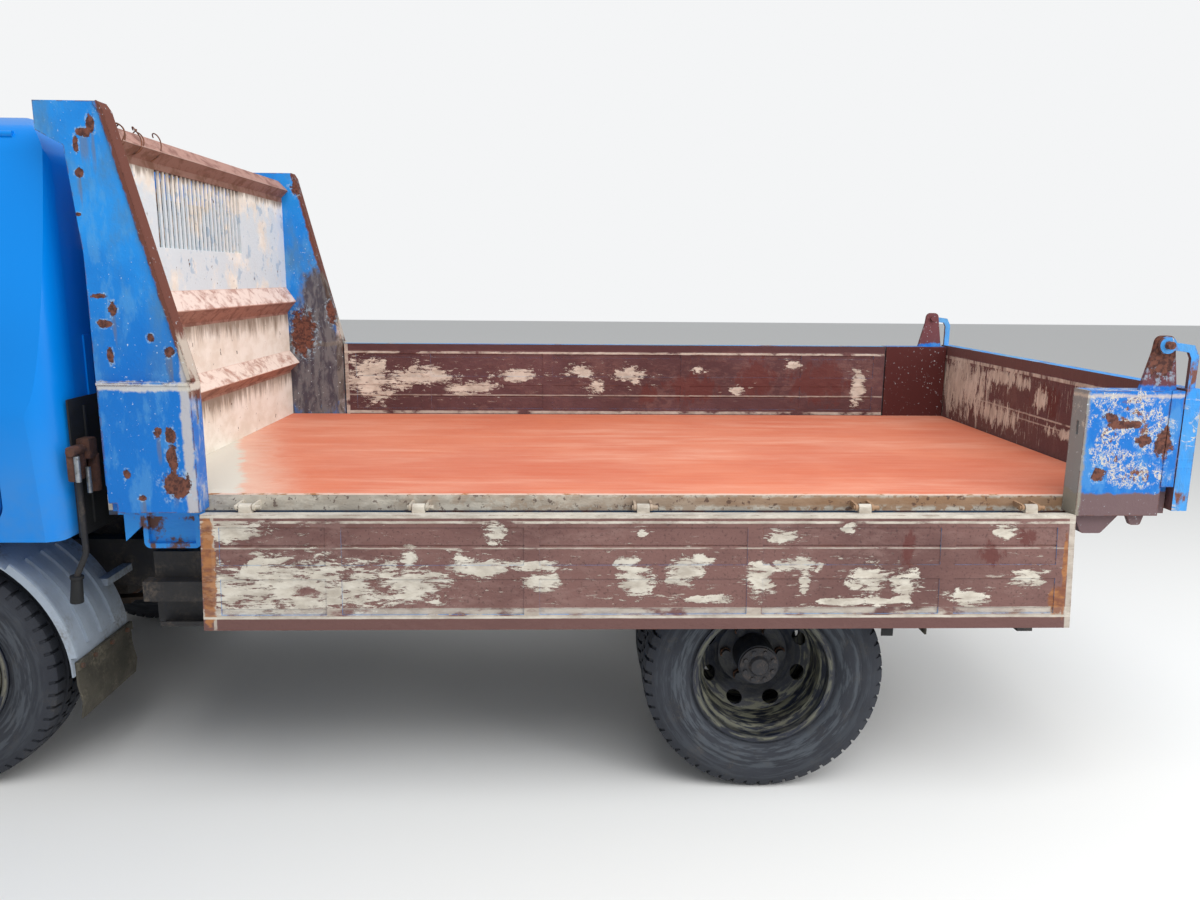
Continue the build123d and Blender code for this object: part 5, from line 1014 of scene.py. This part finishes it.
wiperSizes = {
    "places": ((-0.46, -0.04), (0.16, 0.56)), "footZ": 1.215, "tall": 0.30, "lean": 0.55,
    "armRadius": 0.005, "bladeHalf": 0.13, "bladeLong": 0.325, "bladeTall": 0.1, "bladeRadius": 0.0055,
}
w = wiperSizes
for k, (footX, tipX) in enumerate(w["places"]):
    arm = []
    for share in (j / 6 for j in range(7)):
        x, z = footX + (tipX - footX) * share * w["lean"], w["footZ"] + w["tall"] * share
        arm.append(surfaceAt(cabSkin, (x, -3.0, z), (0, 1, 0)) + Vector((0, -0.016, 0.004)))
    pipeRun(f"wiperArm{k}", arm, w["armRadius"], "cab", "blackPlastic")
    blade = []
    for share in (j / 8 for j in range(9)):
        x = arm[-1].x - w["bladeHalf"] + w["bladeLong"] * share
        z = arm[-1].z - w["bladeTall"] / 2 + w["bladeTall"] * share
        blade.append(surfaceAt(cabSkin, (x, -3.0, z), (0, 1, 0)) + Vector((0, -0.008, 0.002)))
    pipeRun(f"wiperBlade{k}", blade, w["bladeRadius"], "cab", "rubber")
builtPiece("frontPlateBlank", "chassis", "plate",
           [((-0.165, -2.381, 0.300), (0.165, -2.378, 0.462), 0.001)],
           [((x, -2.384, 0.448), (x, -2.378, 0.448), 0.008, 6) for x in (-0.11, 0.11)])
builtPiece("rearPlateBlank", "chassis", "plate",
           [((-0.165, 2.0895, 0.4415), (0.165, 2.0925, 0.4975), 0.001)])
print("cab dressed")

# Lamps: housings, bowls and lenses in place of the plain boxes
lampRows = [
    # name, finish, slot, low corner and high corner on the left side, bevel
    ("frontLampHousing", "blackPlastic", "black_plastic",
     (0.4705, -2.368, 0.501), (0.6895, -2.330, 0.619), 0.004),
    ("frontLampBowl", "chrome", "lamp_plastic", (0.476, -2.3695, 0.508), (0.613, -2.3655, 0.612), 0.0015),
    ("frontMain", "clearLens", "lamp_plastic", (0.474, -2.3735, 0.505), (0.615, -2.3700, 0.615), 0.0015),
    ("frontTurn", "amberLens", "lamp_plastic", (0.618, -2.3735, 0.505), (0.687, -2.366, 0.615), 0.0015),
    ("rearLampHousing", "blackPlastic", "black_plastic",
     (0.400, 2.0685, 0.5047), (0.630, 2.099, 0.5847), 0.003),
    ("rearWhite", "clearLens", "lamp_plastic", (0.404, 2.0975, 0.5087), (0.458, 2.111, 0.5807), 0.004),
    ("rearStop", "redLens", "lamp_plastic", (0.461, 2.0975, 0.5087), (0.552, 2.111, 0.5807), 0.004),
    ("rearTurn", "amberLens", "lamp_plastic", (0.555, 2.0975, 0.5087), (0.626, 2.111, 0.5807), 0.004),
]
# the bowl's discs step back towards its middle: radius, front face
bowl = {"x": 0.5445, "z": 0.56, "back": -2.3660,
        "discs": ((0.049, -2.3722), (0.043, -2.37172), (0.036, -2.37116))}
for side, label in sides:
    for name, finish, slotName, low, high, bevel in lampRows:
        discs = [((side * bowl["x"], bowl["back"], bowl["z"]), (side * bowl["x"], front, bowl["z"]),
                  radius, 40, 0.0015) for radius, front in bowl["discs"]] if finish == "chrome" else ()
        lamp = builtPiece(name + label, "chassis", finish, [
            ((side * low[0], *low[1:]), (side * high[0], *high[1:]), bevel)], discs)
        if lamp.name == "frontLampHousingLeft":
            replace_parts(lamp, "lamps")
print("lamps dressed")

# Headboard: rippled strips between the bars and the wire bound round its top rail
ripple = {"count": 21, "x0": -0.270, "pitch": 0.71 / 21, "z0": 1.640, "z1": 1.870, "y": -0.712,
          "wide": 0.010, "thick": 0.0015, "cuts": 16, "lean": 0.004, "swayX": 0.0028, "swayY": 0.004}
tall = ripple["z1"] - ripple["z0"]
bm = bmesh.new()
for i in range(ripple["count"]):
    # every third strip is gone
    if i % 3 == 2:
        continue
    x = ripple["x0"] + ripple["pitch"] * (i + 0.5)
    lean = random.uniform(-ripple["lean"], ripple["lean"])
    made = bmesh.ops.create_cube(bm, size=1.0)["verts"]
    bmesh.ops.scale(bm, vec=(ripple["wide"], ripple["thick"], tall), verts=made)
    long = [e for e in {e for v in made for e in v.link_edges}
            if abs(e.verts[0].co.z - e.verts[1].co.z) > 0.1]
    bmesh.ops.subdivide_edges(bm, edges=long, cuts=ripple["cuts"], use_grid_fill=True)
    # the new strip still stands at the origin
    strip = [v for v in bm.verts if abs(v.co.x) < 0.2 and abs(v.co.y) < 0.02 and abs(v.co.z) < 0.13]
    phase = random.uniform(0, 6.28)
    for v in strip:
        t = v.co.z / tall
        v.co.x += x + lean * t + ripple["swayX"] * math.sin(t * 19 + phase)
        v.co.y += ripple["y"] + ripple["swayY"] * math.sin(t * 13 + phase)
        v.co.z += (ripple["z0"] + ripple["z1"]) / 2
makePiece("windowStrips", bm, "bed", "strips", 60)

binding = {"rows": ((0.735, 0.34, 3, 0.0), (0.745, 0.22, 2, 0.4)), "points": 150, "y": -0.708, "z": 1.938,
           "around": 0.040, "radius": 0.0019}
for k, (nearX, reach, laps, offset) in enumerate(binding["rows"]):
    wire = []
    for t in (i / (binding["points"] - 1) for i in range(binding["points"])):
        wave = math.sin(17 * t + offset * 5) * 0.6 + math.sin(41 * t + 2 * offset) * 0.4
        lap = 2 * math.pi * laps
        turn = math.pi / 2 + lap * (t - math.sin(lap * t) / lap * 0.95)
        around = binding["around"] + 0.004 * wave
        wire.append(Vector((nearX - reach * t + 0.012 * wave,
                            binding["y"] + around * math.cos(turn) + 0.006 * wave,
                            binding["z"] + around * math.sin(turn) + 0.004 * math.sin(29 * t))))
    pipeRun(f"bindingWire{k}", wire, binding["radius"], "bed", "wire", sides=2)

# Bed: rope hooks under the closed gate, latches on the gates
hookPlaces = (-0.30, 0.27, 1.33, 1.90)
hookBend = ((-0.797, 0.897), (-0.806, 0.890), (-0.812, 0.876), (-0.810, 0.862), (-0.802, 0.856),
            (-0.795, 0.861))
builtPiece("hookPads", "bed", "chassis", [
    ((-0.800, y - 0.022, 0.876), (-0.7945, y + 0.022, 0.900), 0.002) for y in hookPlaces])
for k, y in enumerate(hookPlaces):
    pipeRun(f"ropeHook{k}", [(x, y, z) for x, z in hookBend], 0.005, "bed", "chassis")
latchRows = [
    # body, node, where the ray starts, height, place along the gate
    ("left_gate", "gate_left", 0.2, 0.66, 1.92), ("left_gate", "gate_left", 0.2, 0.66, -0.32),
    ("right_gate", "gate_right", -1.5, 1.150, 1.92), ("right_gate", "gate_right", -1.5, 1.150, -0.32),
]
for k, (body, nodeName, startX, z, y) in enumerate(latchRows):
    hit = surfaceAt([nodeName], (startX, y, z), (1, 0, 0))
    x = hit.x - 0.012
    builtPiece(f"gateLatch{k}", body, "chassis",
               [((x, y - 0.045, z - 0.022), (hit.x, y + 0.045, z + 0.022), 0.003)],
               [((x - 0.002, y - 0.02, z), (x - 0.002, y + 0.10, z), 0.006, 12, 0.001),
                ((x - 0.002, y - 0.02, z), (x - 0.022, y - 0.02, z - 0.05), 0.005, 12, 0.001)])
print("bed dressed")

# Behind the cab: the hanging lever with its grip, and the brake pipe along the frame
pipeRun("tiltLever", roundedLine(
    [(0.815, -0.812, 1.05), (0.812, -0.812, 0.760), (0.802, -0.850, 0.690), (0.802, -0.856, 0.62)],
    [0, 0.05, 0.03, 0], 4, closed=False), 0.009, "cab", "chassis")
builtPiece("leverGrip", "cab", "rubber", rods=[
    ((0.802, -0.8525, 0.680), (0.802, -0.859, 0.605), 0.0155, 20, 0.003, 0.0185),
    ((0.802, -0.8515, 0.688), (0.802, -0.8525, 0.678), 0.019, 20, 0.002)])
pipeRun("brakePipe", roundedLine(
    [(0.362, -0.66, 0.585), (0.362, 0.02, 0.572), (0.40, 0.10, 0.558), (0.40, 0.44, 0.512),
     (0.372, 0.55, 0.548), (0.362, 1.00, 0.552)], [0.04] * 6, 4, closed=False),
    0.007, "chassis", "steel")
builtPiece("gateStrap", "left_gate", "rubber", [
    ((0.895, 1.50, 0.532), (0.899, 1.535, 0.575), 0.001)])

# Fuel tank straps and cap, spring U-bolts, frame and flap bolts
for k, y in enumerate((-0.50, -0.18)):
    pipeRun(f"tankStrap{k}", roundedLine(
        [(-0.722, y, 0.398), (-0.722, y, 0.657), (-0.378, y, 0.657), (-0.378, y, 0.398)], [0.047] * 4, 5),
        0.006, "chassis", "steel", closed=True)
builtPiece("tankCap", "chassis", "blackPlastic", rods=[
    ((-0.715, -0.34, 0.600), (-0.748, -0.34, 0.612), 0.034, 32, 0.004)])
# end of the truck: axle, top of the spring, lower ends of the bolts
uBolts = {"x": 0.320, "half": 0.031, "radius": 0.0065, "bend": 0.016,
          "rows": (("Front", axles["front"], 0.448, 0.335), ("Rear", axles["rear"], 0.472, 0.318))}
for end, axleY, top, foot in uBolts["rows"]:
    for side, label in sides:
        for y, letter in ((axleY - 0.048, "A"), (axleY + 0.048, "B")):
            near, far = (side * uBolts["x"] + reach for reach in (-uBolts["half"], uBolts["half"]))
            pipeRun("uBolt" + end + label + letter, roundedLine(
                [(near, y, foot), (near, y, top), (far, y, top), (far, y, foot)],
                [0, uBolts["bend"], uBolts["bend"], 0], 4, closed=False),
                uBolts["radius"], "chassis", "steel")
webBolts = [(y + dy, z) for y in (-2.15, -0.40, 0.09, 1.64, 2.17) for z in (0.540, 0.620)
            for dy in (-0.018, 0.018)]
webBolts += [(y + dy, 0.710) for y in (-0.55, 0.30, 1.30) for dy in (-0.04, 0.04)]
builtPiece("frameBolts", "chassis", "steel", rods=[
    ((side * 0.3495, y, z), (side * 0.3565, y, z), 0.009, 6) for side, _ in sides for y, z in webBolts])
flapBolts = [(x, -0.880, 0.397) for x in (0.50, 0.60, 0.70, 0.775)]
flapBolts += [(x, 1.694, 0.560) for x in (0.47, 0.60, 0.74)]
builtPiece("flapBolts", "chassis", "steel", rods=[
    ((side * x, y, z), (side * x, y + 0.008, z), 0.008, 6) for side, _ in sides for x, y, z in flapBolts])
print("chassis dressed")

# Cab inside: instrument hood, lever, pedals
builtPiece("instrumentHood", "cab", "blackPlastic",
           [((-0.60, -2.03, 1.175), (-0.24, -1.92, 1.235), 0.012)],
           [((x, -1.924, 1.205), (x, -1.914, 1.205), 0.034, 32, 0.002) for x in (-0.51, -0.42, -0.33)])
pedals = (-0.52, -0.43, -0.33)
builtPiece("gearLeverAndPedals", "cab", "blackPlastic",
           [((x - 0.028, -2.02, 0.868), (x + 0.028, -1.985, 0.905), 0.004) for x in pedals],
           [((-0.10, -1.72, 0.835), (-0.14, -1.66, 1.12), 0.008, 12),
            ((-0.14, -1.66, 1.11), (-0.145, -1.652, 1.15), 0.020, 20, 0.008)]
           + [((x, -2.05, 0.98), (x, -2.00, 0.90), 0.006, 10) for x in pedals])
print("cab inside dressed")

# Below the cab's rear wall: a dark rubber sheet with folds, painted shade standing for the dark there, and
# the tilt lock with its hand lever
shadeSheet = {"half": 0.800, "low": 0.802, "high": 1.205, "from": -0.8345, "to": -0.8285, "folds": 9}
folds = [-0.72 + 1.44 * i / (shadeSheet["folds"] - 1) for i in range(shadeSheet["folds"])]
# a dark sheet over the lower rear wall as painted shade
builtPiece("shadeSheetBelowCab", "cab", "rubber", [
    ((-shadeSheet["half"], shadeSheet["from"], shadeSheet["low"]),
     (shadeSheet["half"], shadeSheet["to"], shadeSheet["high"]), 0.002),
], [((x, shadeSheet["to"], 0.83), (x, shadeSheet["to"], 1.18), 0.006, 12, 0.002) for x in folds])
builtPiece("tiltLock", "cab", "rustyIron", [
    ((0.770, -0.8300, 0.975), (0.838, -0.806, 1.075), 0.006),
    ((0.735, -0.8300, 1.030), (0.780, -0.790, 1.090), 0.006),
], [((0.72, -0.812, 1.062), (0.846, -0.812, 1.062), 0.013, 20, 0.002),
    ((0.74, -0.805, 0.93), (0.74, -0.805, 1.04), 0.017, 20, 0.003)])
builtPiece("tiltLockPins", "cab", "zincPlate", rods=[
    ((0.835, -0.800, 0.975), (0.835, -0.800, 1.05), 0.008, 16, 0.002),
    ((0.790, -0.795, 0.935), (0.790, -0.795, 1.01), 0.007, 12)])

# Seats: moulded bases, and pads blown up as cloth over foam with sewn channels
padSizes = {"voxel": 0.013, "pressure": 4.0, "frames": 20, "cap": 0.010, "inset": 0.012, "round": 0.030,
            "channel": 0.006, "channelWidth": 0.014, "backLean": 0.1915}
seatRows = [("Driver", -0.760, -0.250), ("Middle", -0.240, 0.240), ("Passenger", 0.250, 0.760)]


def bakedMesh(thing):
    # the mesh as its modifiers leave it
    return bpy.data.meshes.new_from_object(thing.evaluated_get(bpy.context.evaluated_depsgraph_get()))


def blownPad(name, low, high, channels, face, lean):
    inset = padSizes["inset"]
    bm = bmesh.new()
    addBox(bm, [a + inset for a in low], [b - inset for b in high])
    bmesh.ops.bevel(bm, geom=list(bm.edges), offset=padSizes["round"], segments=4, profile=0.5,
                    affect="EDGES", material=-1)
    for v in bm.verts:
        v.co.y += (v.co.z - low[2]) * lean
    mesh = bpy.data.meshes.new(name + "Core")
    bm.to_mesh(mesh)
    bm.free()
    core = bpy.data.objects.new(name + "Core", mesh)
    bpy.context.scene.collection.objects.link(core)
    remesh = core.modifiers.new("foam", "REMESH")
    remesh.mode = "VOXEL"
    remesh.voxel_size = padSizes["voxel"]
    grid = bakedMesh(core)
    core.modifiers.clear()
    core.data = grid
    start = [v.co.copy() for v in grid.vertices]
    cloth = core.modifiers.new("cover", "CLOTH")
    cloth.settings.use_pressure = True
    cloth.settings.uniform_pressure_force = padSizes["pressure"]
    cloth.settings.effector_weights.gravity = 0
    cloth.point_cache.frame_end = padSizes["frames"]
    for frameStep in range(1, padSizes["frames"] + 1):
        bpy.context.scene.frame_set(frameStep)
    blown = bakedMesh(core)
    core.modifiers.clear()
    for v, place in zip(blown.vertices, start):
        moved = v.co - place
        if moved.length > padSizes["cap"]:
            v.co = place + moved.normalized() * padSizes["cap"]
    core.data = blown
    bpy.context.scene.frame_set(1)
    padMesh = core.data
    bpy.data.objects.remove(core)
    # the sewn channels pull the cover down on its upper face
    direction = Vector(face)
    for v in padMesh.vertices:
        if v.normal.dot(direction) < 0.5:
            continue
        for axis, at in channels:
            off = abs(v.co[axis] - at) / padSizes["channelWidth"]
            if off < 1:
                v.co -= direction * padSizes["channel"] * (1 - off * off)
    piece = ownPiece(name, padMesh, "cab", "seat", 80)
    soften = piece.modifiers.new("soften", "SUBSURF")
    soften.levels = soften.render_levels = 1


for label, x0, x1 in seatRows:
    base = builtPiece("seatBase" + label, "cab", "dash", [
        ((x0 + 0.02, -1.515, 0.8395), (x1 - 0.02, -1.02, 0.965), 0.010)])
    if label == "Driver":
        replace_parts(base, "seats")
    third = (x1 - x0) / 3
    blownPad("cushion" + label, (x0, -1.535, 0.955), (x1, -1.005, 1.098),
             [(0, x0 + third), (0, x1 - third), (1, -1.20)], (0, 0, 1), 0.0)
    blownPad("back" + label, (x0, -1.068, 1.088), (x1, -0.985, 1.558),
             [(0, x0 + third), (0, x1 - third), (2, 1.38)], (0, -1, 0.19), padSizes["backLean"])
print("seats padded")

# Dark apron with slats behind the front bumper
builtPiece("frontApron", "chassis", "blackPlastic",
           [((-0.62, -2.300, 0.500), (0.62, -2.294, 0.700), 0.002)]
           + [((-0.60, -2.306, z), (0.60, -2.299, z + 0.012), 0.002) for z in (0.53, 0.57, 0.61, 0.65)])
